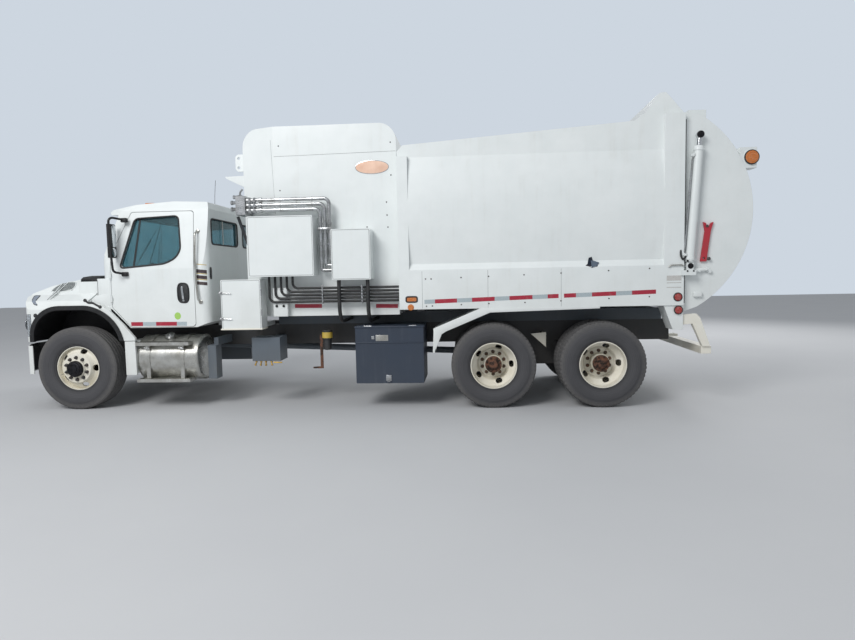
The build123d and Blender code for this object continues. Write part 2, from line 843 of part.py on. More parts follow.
def screen_blocks(inset):
    """Windscreen and rear window openings."""
    with BuildPart() as blocks:
        with BuildSketch(Plane.YZ.offset(cab_front_x - 50)):
            with Locations((0, (screen_lower_z + screen_upper_z) / 2)):
                RectangleRounded(
                    2 * (screen_half_width - inset), screen_upper_z - screen_lower_z - 2 * inset, 70,
                )
        extrude(amount=650)
        with BuildSketch(Plane.YZ.offset(cab_rear_x - 120)):
            for side in (-1, 1):
                pane_middle_y = (rear_window_inner_y + rear_window_outer_y) / 2
                with Locations((side * pane_middle_y, sum(rear_window_z) / 2)):
                    RectangleRounded(
                        rear_window_outer_y - rear_window_inner_y - 2 * inset,
                        rear_window_z[1] - rear_window_z[0] - 2 * inset, 50,
                    )
        extrude(amount=200)
    return blocks.part


# Door hinges: a knuckle on the cab between two on the door
cab_foot_length = 120
door_hinge_y = cab_half_width + 2
door_hinge_zs = (1420, 1720)
door_hinge_radius = 13
door_hinge_relief = 18
door_knuckle_height = 28
door_knuckle_rise = 36
door_hinge_middle = 2 * door_knuckle_rise - door_knuckle_height - 2

with BuildPart() as cab_shell:
    add(cab_outer)
    add(cab_inner, mode=Mode.SUBTRACT)
    for side in (-1, 1):
        add(door_block(side, door_gap), mode=Mode.SUBTRACT)
    add(screen_blocks(0), mode=Mode.SUBTRACT)
    with BuildSketch(Plane.XZ):
        with BuildLine():
            Polyline(
                (-3190, 2500), (-3345, 2512), (-3352, 2540), (-3310, 2575), (-2990, 2636), (-3130, 2555),
                close=True,
            )
        make_face()
    extrude(amount=visor_half_width, both=True)
    for x in (cab_rear_x - 130, cab_rear_x - 930):
        for side in (-1, 1):
            with Locations((x, side * (rail_outer_y - rail_flange / 2), (rail_top_z + cab_floor_z) / 2 + 5)):
                Box(cab_foot_length, rail_flange - 20, cab_floor_z - rail_top_z + 10)
    for side in (-1, 1):
        for z in door_hinge_zs:
            for rise in (-door_knuckle_rise, door_knuckle_rise):
                with Locations((door_front_x, side * door_hinge_y, z + rise)):
                    Cylinder(door_hinge_relief, door_knuckle_height + 4, mode=Mode.SUBTRACT)
            with Locations((door_front_x, side * door_hinge_y, z)):
                Cylinder(door_hinge_radius, door_hinge_middle)
save(cab_shell, "cab_shell")

with BuildPart() as cab_glass:
    add(glass_outer)
    add(glass_inner, mode=Mode.SUBTRACT)
    add(screen_blocks(part_gap / 10), mode=Mode.INTERSECT)
save(cab_glass, "cab_glass")

for side, word in sides:
    with BuildPart() as door:
        add(cab_outer)
        add(cab_inner, mode=Mode.SUBTRACT)
        add(door_block(side, 0), mode=Mode.INTERSECT)
        add(door_window_block(side, 0), mode=Mode.SUBTRACT)
        for z in door_hinge_zs:
            with Locations((door_front_x, side * door_hinge_y, z)):
                Cylinder(door_hinge_relief, door_hinge_middle + 4, mode=Mode.SUBTRACT)
            for rise in (-door_knuckle_rise, door_knuckle_rise):
                with Locations((door_front_x, side * door_hinge_y, z + rise)):
                    Cylinder(door_hinge_radius, door_knuckle_height)
    save(door, f"door_{word}")
    with BuildPart() as pane:
        add(glass_outer)
        add(glass_inner, mode=Mode.SUBTRACT)
        add(door_window_block(side, part_gap / 10), mode=Mode.INTERSECT)
    save(pane, f"door_glass_{word}")

# Mirrors: a tubular frame on each door, with the tall mirror head and a round spot mirror
mirror_tube = 14
mirror_y = 1262
mirror_root_x = -3075
mirror_bend = 50
mirror_head_depth = 50
mirror_head_width = 30
mirror_head_height = 420
for side, word in sides:
    with BuildPart() as mirror_arm:
        frame_points = [
            (mirror_root_x, side * (cab_half_width - 62), 2425),
            (mirror_root_x - 130, side * mirror_y, 2455),
            (mirror_root_x - 140, side * mirror_y, 2200),
            (mirror_root_x - 110, side * mirror_y, 1770),
            (mirror_root_x, side * (cab_half_width - 12), 1735),
        ]
        with BuildLine():
            route = FilletPolyline(*frame_points, radius=mirror_bend)
        with BuildSketch(Plane(origin=route @ 0, z_dir=route % 0)):
            Circle(mirror_tube)
        sweep()
        with Locations((mirror_root_x - 137, side * (mirror_y - 10), 2160)):
            Box(mirror_head_depth, mirror_head_width, mirror_head_height)
        add(cab_outer, mode=Mode.SUBTRACT)
    save(mirror_arm, f"mirror_{word}")

# Seats and dashboard
seat_y = 520
seat_table = (
    ("x", "length", "width", "z", "height"),
    (-2560, 500, 480, 1460, 130),
    (-2335, 110, 460, 1800, 620),
    (-2520, 320, 320, 1252.5, 285),
)
with BuildPart() as seats:
    for y in (-seat_y, seat_y):
        for x, length, width, z, height in seat_table[1:]:
            with Locations((x, y, z)):
                Box(length, width, height)
save(seats, "seats")

dash_half_width = 840
column_radius = 28
steering_wheel_x = -2960
steering_wheel_z = 1702
steering_wheel_radius = 210
steering_rim_radius = 16
with BuildPart() as dashboard:
    with BuildSketch(Plane.XZ):
        with BuildLine():
            Polyline(
                (-3430, footwell_z + cab_wall), (-3360, footwell_z + cab_wall),
                (-3180, 1375), (-3120, 1450), (-3130, 1690),
                (-3240, 1735), (-3430, 1690), close=True,
            )
        make_face()
    extrude(amount=dash_half_width, both=True)
    with Locations(Location((steering_wheel_x - 90, -seat_y, steering_wheel_z - 52), (0, 60, 0))):
        Cylinder(column_radius, 220)
    with Locations(Location((steering_wheel_x, -seat_y, steering_wheel_z), (0, 60, 0))):
        Torus(steering_wheel_radius, steering_rim_radius)
        Box(24, 2 * steering_wheel_radius, steering_rim_radius)
save(dashboard, "dashboard")

# Fuel tank with straps and the two cab steps
tank_front_x = -3000
tank_rear_x = -2190
tank_y = -870
tank_z = 640
tank_radius = 295
tank_strap_xs = (-2850, -2400)
tank_strap_width = 60
tank_strap_wall = 8
tank_arm_height = 200
step_x = -2630
step_length = 700
step_y = -1120
step_width = 180
step_wall = 40
step_zs = (375, 845)
with BuildPart() as fuel_tank:
    with Locations(Location(((tank_front_x + tank_rear_x) / 2, tank_y, tank_z), (0, 90, 0))):
        Cylinder(tank_radius, tank_rear_x - tank_front_x)
    fillet(fuel_tank.edges().filter_by(GeomType.CIRCLE), radius=40)
    for x in tank_strap_xs:
        with Locations(Location((x, tank_y, tank_z), (0, 90, 0))):
            Cylinder(tank_radius + tank_strap_wall, tank_strap_width)
        with Locations((x, (tank_y - rail_outer_y) / 2 - 20, tank_z + 120)):
            Box(tank_strap_width, -tank_y - rail_outer_y + 40, tank_arm_height)
        with Locations((x, step_y - 10, step_zs[0] + 90)):
            Box(50, 50, 200)
        with Locations((x, step_y, step_zs[1] - 55)):
            Box(50, 60, 150)
    for z in step_zs:
        with Locations((step_x, step_y, z)):
            Box(step_length, step_width, step_wall)
save(fuel_tank, "fuel_tank")

# Black tool box
tool_box_x = 282
tool_box_y = -900
tool_box_z = 675
tool_box_length = 850
tool_box_width = 600
tool_box_height = 710
with BuildPart() as tool_box:
    with Locations((tool_box_x, tool_box_y, tool_box_z)):
        Box(tool_box_length, tool_box_width, tool_box_height)
    fillet(tool_box.edges().filter_by(Axis.Y), radius=12)
    with Locations((tool_box_x, (tool_box_y + tool_box_width / 2 - rail_outer_y) / 2, 880)):
        Box(500, -tool_box_y - tool_box_width / 2 - rail_outer_y, 120)
save(tool_box, "tool_box")

# White boxes: valve cover, tank cover and the cabinet behind the cab
cabinet_arm_x = -1560
cabinet_arm_end_y = 1100
with BuildPart() as side_boxes:
    box_table = (
        ("front", "rear", "inner", "outer", "bottom", "top"),
        (-1442, -619, hopper_left_y, -1270, 1671, 2413),
        (-398, 85, hopper_left_y, -1270, 1614, 2236),
        (-1814, -1306, hopper_left_y - 5, -1250, 1018, 1643),
    )
    for x0, x1, y_in, y_out, z0, z1 in box_table[1:]:
        with Locations(((x0 + x1) / 2, (y_in + y_out) / 2, (z0 + z1) / 2)):
            Box(x1 - x0, y_in - y_out, z1 - z0)
    fillet(side_boxes.edges().filter_by(Axis.Y), radius=18)
    with Locations((cabinet_arm_x, -(rail_outer_y + cabinet_arm_end_y) / 2 + 20, rail_top_z + 30)):
        Box(300, cabinet_arm_end_y - rail_outer_y, 60)
save(side_boxes, "side_boxes")

# Hopper: a tall hollow housing, open above and to the right, and to the body behind
hopper_bottom_z = sill_top_z
tunnel_front_x = arm_x - 160
tunnel_rear_x = arm_x + 160
tunnel_top_z = 1470
loading_z = 2350


def hopper_solid(inset):
    """The hopper's closed form, bevelled at its left front and rounded on top."""
    with BuildPart() as form:
        with BuildSketch(Plane.XY.offset(hopper_bottom_z + inset)):
            with BuildLine():
                Polyline(
                    (hopper_front_x + inset, hopper_right_y - inset),
                    (hopper_front_x + inset, hopper_left_y + bevel_depth + inset),
                    (bevel_front_x, hopper_left_y + inset),
                    (hopper_rear_x - inset, hopper_left_y + inset),
                    (hopper_rear_x - inset, hopper_right_y - inset),
                    close=True,
                )
            make_face()
        extrude(amount=hopper_top_z - hopper_bottom_z - 2 * inset)
        with BuildSketch(Plane.XZ):
            with Locations(((hopper_front_x + hopper_rear_x) / 2, hopper_top_z / 2 - inset)):
                RectangleRounded(
                    hopper_rear_x - hopper_front_x - 2 * inset, hopper_top_z, hopper_corner - inset,
                )
        extrude(amount=past_width, both=True, mode=Mode.INTERSECT)
    return form.part


tunnel_x = (tunnel_front_x + tunnel_rear_x) / 2
tunnel_length = tunnel_rear_x - tunnel_front_x
tunnel_half_width = 880
tunnel_wall = 20
tunnel_floor_z = sill_top_z + 2 * tunnel_wall
loading_x = -600
loading_length = 1600
loading_reach = 810
throat_middle_z = 1850
throat_width = 1600
throat_height = 1150
lug_z = 3146
lug_ys = (-800, 700)
with BuildPart() as hopper:
    add(hopper_solid(0))
    add(hopper_solid(hopper_wall), mode=Mode.SUBTRACT)
    with Locations((tunnel_x, -50, (hopper_bottom_z + tunnel_top_z) / 2 + tunnel_wall)):
        Box(
            tunnel_length + 2 * tunnel_wall, 2 * tunnel_half_width,
            tunnel_top_z - hopper_bottom_z + 2 * tunnel_wall,
        )
    with Locations((tunnel_x, 2 * tunnel_wall, (tunnel_floor_z + tunnel_top_z) / 2)):
        Box(tunnel_length, 2 * tunnel_half_width, tunnel_top_z - tunnel_floor_z, mode=Mode.SUBTRACT)
    with Locations((loading_x, hopper_right_y - loading_reach + 450, (loading_z + hopper_top_z) / 2 + 100)):
        Box(loading_length, 900, hopper_top_z - loading_z + 200, mode=Mode.SUBTRACT)
    with Locations((hopper_rear_x, (hopper_left_y + hopper_right_y) / 2, throat_middle_z)):
        Box(200, throat_width, throat_height, mode=Mode.SUBTRACT)
    for y in lug_ys:
        with BuildSketch(Plane.XZ.offset(-y)):
            with Locations((hopper_front_x - 55, lug_z)):
                RectangleRounded(130, 220, 50)
            with Locations((hopper_front_x - 75, lug_z - 60), (hopper_front_x - 75, lug_z + 60)):
                Circle(18, mode=Mode.SUBTRACT)
        extrude(amount=20)
        with BuildSketch(Plane.XZ.offset(-y)):
            with BuildLine():
                Polyline(
                    (hopper_front_x, lug_z - 170),
                    (hopper_front_x - 250, lug_z - 175),
                    (hopper_front_x - 235, lug_z - 200),
                    (hopper_front_x, lug_z - 315),
                    close=True,
                )
            make_face()
        extrude(amount=60)
save(hopper, "hopper")

# Packer blade: slides rearward along the hopper's floor
packer_side_gap = 10
packer_bottom_z = hopper_bottom_z + hopper_wall + slide_gap
packer_top_z = hopper_bottom_z + hopper_wall + packer_height
packer_rear_x = packer_front_x + packer_length
with BuildPart() as packer:
    with BuildSketch(Plane.XZ.offset(-(hopper_right_y - hopper_wall - packer_side_gap))):
        with BuildLine():
            Polyline(
                (packer_front_x, packer_bottom_z),
                (packer_rear_x, packer_bottom_z),
                (packer_rear_x, packer_top_z - 80),
                (packer_rear_x - 120, packer_top_z),
                (packer_front_x, packer_top_z),
                close=True,
            )
        make_face()
    extrude(amount=hopper_right_y - hopper_left_y - 2 * (hopper_wall + packer_side_gap))
save(packer, "packer")

# Body: hollow, bowed walls, raised at the rear for the gate's hinge


def body_front_view(inset):
    """The body's cross-section: bowed sides and round roof corners."""
    half = body_half_width - inset
    with BuildSketch(Plane.YZ) as view:
        with BuildLine():
            low = (half - skirt_inset, skirt_bottom_z + inset)
            fold = (half - skirt_inset, fold_z - inset / 2)
            waist = (half - waist_inset, waist_z - inset / 2)
            belly = (half - 2, belly_z)
            shoulder = (half - shoulder_inset, shoulder_z)
            Line((0, low[1]), low)
            Line(low, fold)
            Line(fold, waist)
            ThreePointArc(waist, belly, shoulder)
            Line(shoulder, (shoulder[0], past_height))
            Line((shoulder[0], past_height), (0, past_height))
            Line((0, past_height), (0, low[1]))
        make_face()
        mirror(about=Plane.YZ)
    return view.sketch


def body_side_view(inset):
    """The body from the side, up to the roof that climbs to the rear bolster."""
    with BuildSketch(Plane.XZ) as view:
        with BuildLine():
            Polyline(
                (body_front_x + inset, skirt_bottom_z - 100),
                (body_front_x + inset, body_front_top_z - front_chamfer - inset),
                (body_front_x + front_chamfer + inset, body_front_top_z - inset),
                (gate_bolster_x - 40, body_rear_top_z - inset),
                (gate_bolster_x + 90, body_rear_top_z + 95 - inset),
                (pillar_front_x - 95, gate_bolster_z - 25 - inset),
                (pillar_front_x - 45, gate_bolster_z + 10 - inset),
                (pillar_front_x + 20, gate_bolster_z + 15 - inset),
                (pillar_front_x + 75, gate_bolster_z - 45 - inset),
                (body_rear_x, body_top_corner_z - inset),
                (body_rear_x, skirt_bottom_z - 100),
                close=True,
            )
        make_face()
    return view.sketch


post_table = (
    ("start", "end", "top"),
    (body_front_x, body_front_x + front_post_length, shoulder_z + 10),
    (pillar_front_x, body_rear_x, body_top_corner_z - 10),
)
pillar_depth = 250
bracket_width = 104
bracket_cheek = 18
gate_opening_z = 2330
gate_opening_height = 2100
with BuildPart() as body_shell:
    extrude(body_front_view(0), amount=past_length, both=True)
    extrude(body_side_view(0), amount=past_width, both=True, mode=Mode.INTERSECT)
    with BuildPart(mode=Mode.PRIVATE) as hollow:
        extrude(body_front_view(body_wall), amount=past_length, both=True)
        extrude(body_side_view(body_wall), amount=past_width, both=True, mode=Mode.INTERSECT)
    for side in (-1, 1):
        for start, end, top in post_table[1:]:
            post_y = side * (body_half_width - skirt_inset - post_depth / 2)
            with Locations(((start + end) / 2, post_y, (fold_z + top) / 2)):
                Box(end - start, post_depth, top - fold_z)
    add(hollow.part, mode=Mode.SUBTRACT)
    with Locations((body_front_x, (hopper_left_y + hopper_right_y) / 2, throat_middle_z)):
        Box(200, throat_width, throat_height, mode=Mode.SUBTRACT)
    with Locations((body_rear_x, 0, gate_opening_z)):
        Box(200, 2 * (body_half_width - 110), gate_opening_height, mode=Mode.SUBTRACT)
    for side in (-1, 1):
        with BuildSketch(Plane.XZ.offset(side * (body_half_width - 145) - pillar_depth / 2)):
            with BuildLine():
                Polyline(
                    (pillar_front_x + 110, pillar_bottom_z), (body_rear_x, pillar_bottom_z),
                    (body_rear_x, skirt_bottom_z + 10), (pillar_front_x, skirt_bottom_z + 10), close=True,
                )
            make_face()
        extrude(amount=pillar_depth)
        with BuildSketch(Plane.XZ.offset(side * gate_lug_y - gate_lug_wall / 2)):
            with BuildLine():
                Polyline(
                    (gate_hinge_x, gate_hinge_z + gate_lug_radius),
                    (gate_hinge_x - 200, gate_hinge_z + 40),
                    (gate_hinge_x - 150, gate_hinge_z - 90),
                    (body_rear_x, gate_hinge_z - 90),
                    (gate_hinge_x, gate_hinge_z - gate_lug_radius),
                    close=True,
                )
            make_face()
            with Locations((gate_hinge_x, gate_hinge_z)):
                Circle(gate_lug_radius)
        extrude(amount=gate_lug_wall)
        pin_middle = (gate_hinge_x, side * (gate_lug_y + gate_lug_wall), gate_hinge_z)
        with Locations(Location(pin_middle, (90, 0, 0))):
            Cylinder(gate_pin_radius, 3 * gate_lug_wall)
        bracket_y = side * (gate_cylinder_y + 2)
        with Locations((lower_pin_x - 20, bracket_y, lower_pin_z - 80)):
            Box(170, bracket_width, 60)
        cheek_offset = bracket_width / 2 - 10
        for offset_y in (-cheek_offset, cheek_offset):
            with Locations((lower_pin_x - 5, bracket_y + offset_y, lower_pin_z - 10)):
                Box(80, bracket_cheek, 90)
        with Locations(Location((lower_pin_x, bracket_y, lower_pin_z), (90, 0, 0))):
            Cylinder(lower_pin_radius, bracket_width - 4)
save(body_shell, "body_shell")

# Skirt stripe panel, wheel fenders and the panel that carries the side marker lamp
fender_depth = 600
with BuildPart() as rear_fenders:
    for side in (-1, 1):
        with BuildSketch(Plane.XZ.offset(-side * (body_half_width - 300) - 300)):
            with BuildLine():
                Polyline(
                    (820, 700), (835, 985), (1450, skirt_bottom_z), (1570, skirt_bottom_z), (1500, 1200),
                    (862, 965), (845, 700), close=True,
                )
            make_face()
        extrude(amount=fender_depth)
save(rear_fenders, "rear_fenders")

flap_bottom_z = 450
flap_top_z = 882
splash_y = 999
panel_y = 905
panel_width = 570
panel_wall = 12
with BuildPart() as front_mudguards:
    for side in (-1, 1):
        with BuildSketch(Plane.XZ.offset(-side * (hood_half_width - hood_wall / 2) - hood_wall / 2)):
            with BuildLine():
                Polyline(
                    (arch_rear_x, flap_top_z), (arch_rear_x, flap_bottom_z),
                    (-2988, flap_bottom_z), (-2992, flap_top_z), close=True,
                )
            make_face()
        extrude(amount=hood_wall)
        with BuildSketch(Plane.XZ.offset(-side * splash_y - hood_wall / 2)):
            with BuildLine():
                Polyline(
                    (-3115, flap_top_z), (-3100, flap_bottom_z),
                    (-3020, flap_bottom_z), (-3020, flap_top_z), close=True,
                )
            make_face()
        extrude(amount=hood_wall)
        with BuildSketch(Plane.XZ.offset(-side * panel_y - panel_width / 2)):
            with BuildLine():
                Polyline(
                    (-3125, flap_top_z), (-3110, flap_bottom_z),
                    (-3110 + panel_wall, flap_bottom_z), (-3125 + panel_wall, flap_top_z), close=True,
                )
            make_face()
        extrude(amount=panel_width)
        with Locations((-3110, side * (rail_outer_y + 640) / 2, 850)):
            Box(60, 640 - rail_outer_y, 60)
save(front_mudguards, "front_mudguards")


def gate_outline(inset):
    """The tailgate from the side: an upright front edge and one great rear curve."""
    with BuildSketch(Plane.XZ) as view:
        with BuildLine():
            top = (body_rear_x + 208 - inset, gate_top_z - 38 - inset)
            bulge = (gate_rear_x - inset, gate_bulge_z)
            foot = (body_rear_x + 182 - inset, gate_bottom_z + 12 + inset)
            front = gate_front_x - 2 * inset
            toe_z = gate_bottom_z - 35 + inset
            Line((front, toe_z), (front, gate_top_z - 10 - inset))
            Line((front, gate_top_z - 10 - inset), (body_rear_x + 60, gate_top_z - inset))
            Line((body_rear_x + 60, gate_top_z - inset), top)
            ThreePointArc(top, bulge, foot)
            Line(foot, (body_rear_x + 50, toe_z))
            Line((body_rear_x + 50, toe_z), (front, toe_z))
        make_face()
    return view.sketch


with BuildPart() as tailgate:
    extrude(gate_outline(0), amount=gate_half_width, both=True)
    extrude(gate_outline(gate_wall), amount=gate_half_width - gate_wall, both=True, mode=Mode.SUBTRACT)
    for side in (-1, 1):
        with BuildSketch(Plane.XZ.offset(-side * (gate_lug_y + gate_lug_wall + 1) - gate_lug_wall / 2)):
            with BuildLine():
                Polyline(
                    (gate_hinge_x + 25, gate_hinge_z + 42),
                    (gate_hinge_x + 160, gate_top_z - 20),
                    (gate_hinge_x + 10, gate_top_z - 20),
                    (gate_hinge_x - 10, gate_hinge_z - 46),
                    close=True,
                )
            make_face()
            with Locations((gate_hinge_x, gate_hinge_z)):
                Circle(gate_lug_radius)
        extrude(amount=gate_lug_wall)
        pin_middle = (gate_hinge_x, side * (gate_lug_y + gate_lug_wall), gate_hinge_z)
        with Locations(Location(pin_middle, (90, 0, 0))):
            Cylinder(gate_pin_radius + bearing_clearance, 4 * gate_lug_wall, mode=Mode.SUBTRACT)
save(tailgate, "tailgate")

# Red props that hold the open gate, stowed on its sides
prop_x = body_rear_x + 205
prop_bottom_z = 1750
prop_wall = 24
prop_standoff = 10
prop_outline = (
    ("along", "up"),
    (0, 0), (70, 0), (117, 360), (147, 465), (117, 455), (85, 400), (57, 455), (27, 465), (47, 360),
)
with BuildPart() as gate_props:
    for side in (-1, 1):
        with BuildSketch(Plane.XZ.offset(-side * (gate_half_width + 21) - prop_wall / 2)):
            with BuildLine():
                Polyline(
                    *[(prop_x + along, prop_bottom_z + up) for along, up in prop_outline[1:]], close=True,
                )
            make_face()
            with Locations((prop_x + 40, prop_bottom_z + 40)):
                Circle(14, mode=Mode.SUBTRACT)
        extrude(amount=prop_wall)
        for along, up in ((40, 110), (77, 340)):
            pad_y = side * (gate_half_width + prop_standoff / 2)
            with Locations((prop_x + along, pad_y, prop_bottom_z + up)):
                Box(40, prop_standoff, 60)
save(gate_props, "gate_props")

cylinder_run = math.hypot(upper_pin_x - lower_pin_x, upper_pin_z - lower_pin_z)
cylinder_dir = ((upper_pin_x - lower_pin_x) / cylinder_run, 0, (upper_pin_z - lower_pin_z) / cylinder_run)
barrel_length = cylinder_run - 130


def along_cylinder(side, distance):
    """A plane square to a gate cylinder, this far up from its lower pin."""
    origin = (
        lower_pin_x + cylinder_dir[0] * distance,
        side * gate_cylinder_y,
        lower_pin_z + cylinder_dir[2] * distance,
    )
    return Plane(origin=origin, x_dir=(0, 1, 0), z_dir=cylinder_dir)


eye_width = 54
with BuildPart() as gate_barrels:
    for side in (-1, 1):
        with BuildSketch(along_cylinder(side, 50)):
            Circle(gate_cylinder_radius)
        extrude(amount=barrel_length - 50)
        with Locations(Location((lower_pin_x, side * gate_cylinder_y, lower_pin_z), (90, 0, 0))):
            Cylinder(lower_eye_radius, eye_width)
        with BuildSketch(along_cylinder(side, 0)):
            Rectangle(eye_width, 70)
        extrude(amount=60)
        with Locations(Location((lower_pin_x, side * gate_cylinder_y, lower_pin_z), (90, 0, 0))):
            Cylinder(lower_pin_radius + bearing_clearance, eye_width + 26, mode=Mode.SUBTRACT)
        with BuildSketch(along_cylinder(side, 90)):
            Circle(gate_rod_radius + bearing_clearance)
        extrude(amount=barrel_length, mode=Mode.SUBTRACT)
save(gate_barrels, "gate_barrels")

with BuildPart() as gate_rods:
    for side in (-1, 1):
        with BuildSketch(along_cylinder(side, 110)):
            Circle(gate_rod_radius)
        extrude(amount=cylinder_run - 110 - 30)
        with Locations(Location((upper_pin_x, side * gate_cylinder_y, upper_pin_z), (90, 0, 0))):
            Cylinder(upper_eye_radius, eye_width - 4)
        pin_inner = gate_half_width + 1
        pin_outer = gate_cylinder_y + 35
        with Locations(Location((upper_pin_x, side * (pin_inner + pin_outer) / 2, upper_pin_z), (90, 0, 0))):
            Cylinder(upper_pin_radius, pin_outer - pin_inner)
save(gate_rods, "gate_rods")

# Lifting arm on the right: carriage, boom and two gripper fingers
arm_cheek = 30
arm_beam_end_y = 840
boom_knee_z = arm_pivot_z - 300
boom_end_y = 1060
boom_end_wall = 60
finger_pin_y = 1100
finger_lug_wall = 24
finger_lug_gap = 2
arm_cheek_gap = 6
with BuildPart() as arm_carriage:
    with Locations((arm_x, (arm_mast_y - arm_beam_end_y) / 2, arm_beam_z)):
        Box(arm_beam_width, arm_mast_y + arm_beam_end_y, arm_beam_height)
    cheek_x = arm_width / 2 + arm_cheek_gap + arm_cheek / 2
    mast_bottom_z = arm_beam_z - arm_beam_height / 2
    mast_top_z = arm_pivot_z + 70
    with Locations((arm_x, arm_mast_y + arm_mast_wall / 2, (mast_bottom_z + mast_top_z) / 2)):
        Box(2 * cheek_x + arm_cheek, arm_mast_wall, mast_top_z - mast_bottom_z)
    for side in (-1, 1):
        with BuildSketch(Plane.YZ.offset(arm_x + side * cheek_x - arm_cheek / 2)):
            with BuildLine():
                Polyline(
                    (arm_mast_y, mast_bottom_z),
                    (arm_mast_y + 60, mast_bottom_z),
                    (arm_pivot_y + 70, arm_pivot_z),
                    (arm_pivot_y + 40, mast_top_z),
                    (arm_mast_y, mast_top_z),
                    close=True,
                )
            make_face()
        extrude(amount=arm_cheek)
    with Locations(Location((arm_x, arm_pivot_y, arm_pivot_z), (0, 90, 0))):
        Cylinder(arm_pivot_radius, 2 * cheek_x + arm_cheek + 30)
save(arm_carriage, "arm_carriage")

with BuildPart() as lift_arm:
    with BuildSketch(Plane.YZ.offset(arm_x - arm_width / 2)):
        with BuildLine():
            Polyline(
                (arm_pivot_y - 45, arm_pivot_z),
                (arm_pivot_y + 60, arm_pivot_z),
                (arm_pivot_y + 90, boom_knee_z),
                (boom_end_y, gripper_z + 90),
                (boom_end_y, gripper_z - finger_height / 2),
                (boom_end_y - boom_end_wall, gripper_z - finger_height / 2),
                (boom_end_y - boom_end_wall, gripper_z + 60),
                (arm_pivot_y - 20, boom_knee_z),
                close=True,
            )
        make_face()
        with Locations((arm_pivot_y, arm_pivot_z)):
            Circle(60)
            Circle(arm_pivot_radius + bearing_clearance, mode=Mode.SUBTRACT)
    extrude(amount=arm_width)
    with Locations((arm_x, boom_end_y - boom_end_wall / 2, gripper_z)):
        Box(2 * gripper_half_span + 60, boom_end_wall, finger_height)
    for side in (-1, 1):
        lug_x = arm_x + side * gripper_half_span
        lug_rise = (finger_height - finger_lug_wall) / 2
        for rise in (-lug_rise, lug_rise):
            with Locations((lug_x, finger_pin_y - 5, gripper_z + rise)):
                Box(70, 70, finger_lug_wall)
        with Locations((lug_x, finger_pin_y, gripper_z)):
            Cylinder(finger_pin_radius, finger_height)
save(lift_arm, "lift_arm")

finger_clear_height = finger_height - 2 * (finger_lug_wall + finger_lug_gap)
finger_sweep = 42
finger_bend_radius = 640
for side, word in ((-1, "front"), (1, "rear")):
    with BuildPart() as finger:
        with BuildSketch(Plane.XY.offset(gripper_z - finger_clear_height / 2)):
            pin = (arm_x + side * gripper_half_span, finger_pin_y)
            with BuildLine():
                end_angle = math.radians(finger_sweep)
                bend_y = pin[1] + finger_bend_radius

                def on_arc(radius, share):
                    """A point of the finger's curve, at this share of its sweep."""
                    angle = end_angle * share
                    return (pin[0] + side * radius * math.sin(angle), bend_y - radius * math.cos(angle))

                inner = finger_bend_radius - finger_wall / 2
                outer = finger_bend_radius + finger_wall / 2
                ThreePointArc(on_arc(outer, 0), on_arc(outer, 0.5), on_arc(outer, 1))
                Line(on_arc(outer, 1), on_arc(inner, 1))
                ThreePointArc(on_arc(inner, 1), on_arc(inner, 0.5), on_arc(inner, 0))
                Line(on_arc(inner, 0), on_arc(outer, 0))
            make_face()
            with Locations(pin):
                Circle(finger_pin_radius + 13)
                Circle(finger_pin_radius + bearing_clearance, mode=Mode.SUBTRACT)
        extrude(amount=finger_clear_height)
    save(finger, f"gripper_{word}")

# Steel pipes with their manifold, and the hoses under the boxes
pipe_y = -1150
pipe_radius = 23
pipe_count = 3
manifold_x = -1540
small_box_x = -398
with BuildPart() as steel_pipes:
    for number in range(pipe_count):
        top_z = 2622 - 62 * number
        down_x = -432 - 58 * number
        end_z = 1860 - 60 * number
        with BuildLine():
            run = FilletPolyline(
                (manifold_x + 40, pipe_y, top_z),
                (down_x, pipe_y, top_z),
                (down_x, pipe_y, end_z),
                (small_box_x, pipe_y, end_z),
                radius=(70, 28),
            )
        with BuildSketch(Plane(origin=run @ 0, z_dir=run % 0)):
            Circle(pipe_radius)
        sweep()
    with Locations((manifold_x, pipe_y + 110, 2560)):
        Box(120, 300, 230)
    add(hopper_solid(0), mode=Mode.SUBTRACT)
save(steel_pipes, "steel_pipes")

hose_radius = 15
hose_count = 5
hose_y = -1130
drop_hose_radius = 24
drop_hose_y = -1190
drop_hose_z = 1092
with BuildPart() as hoses:
    for number in range(hose_count):
        with BuildLine():
            down_x = -1230 + 75 * number
            low_z = 1350 + 42 * number
            run = FilletPolyline(
                (down_x, hose_y, 1671), (down_x, hose_y, low_z), (body_front_x, hose_y, low_z), radius=70,
            )
        with BuildSketch(Plane(origin=run @ 0, z_dir=run % 0)):
            Circle(hose_radius)
        sweep()
    for x in (-330, 30):
        with BuildLine():
            run = FilletPolyline(
                (x, drop_hose_y, 1614),
                (x, drop_hose_y, drop_hose_z),
                (x, -rail_outer_y, drop_hose_z),
                radius=200,
            )
        with BuildSketch(Plane(origin=run @ 0, z_dir=run % 0)):
            Circle(drop_hose_radius)
        sweep()
save(hoses, "hoses")

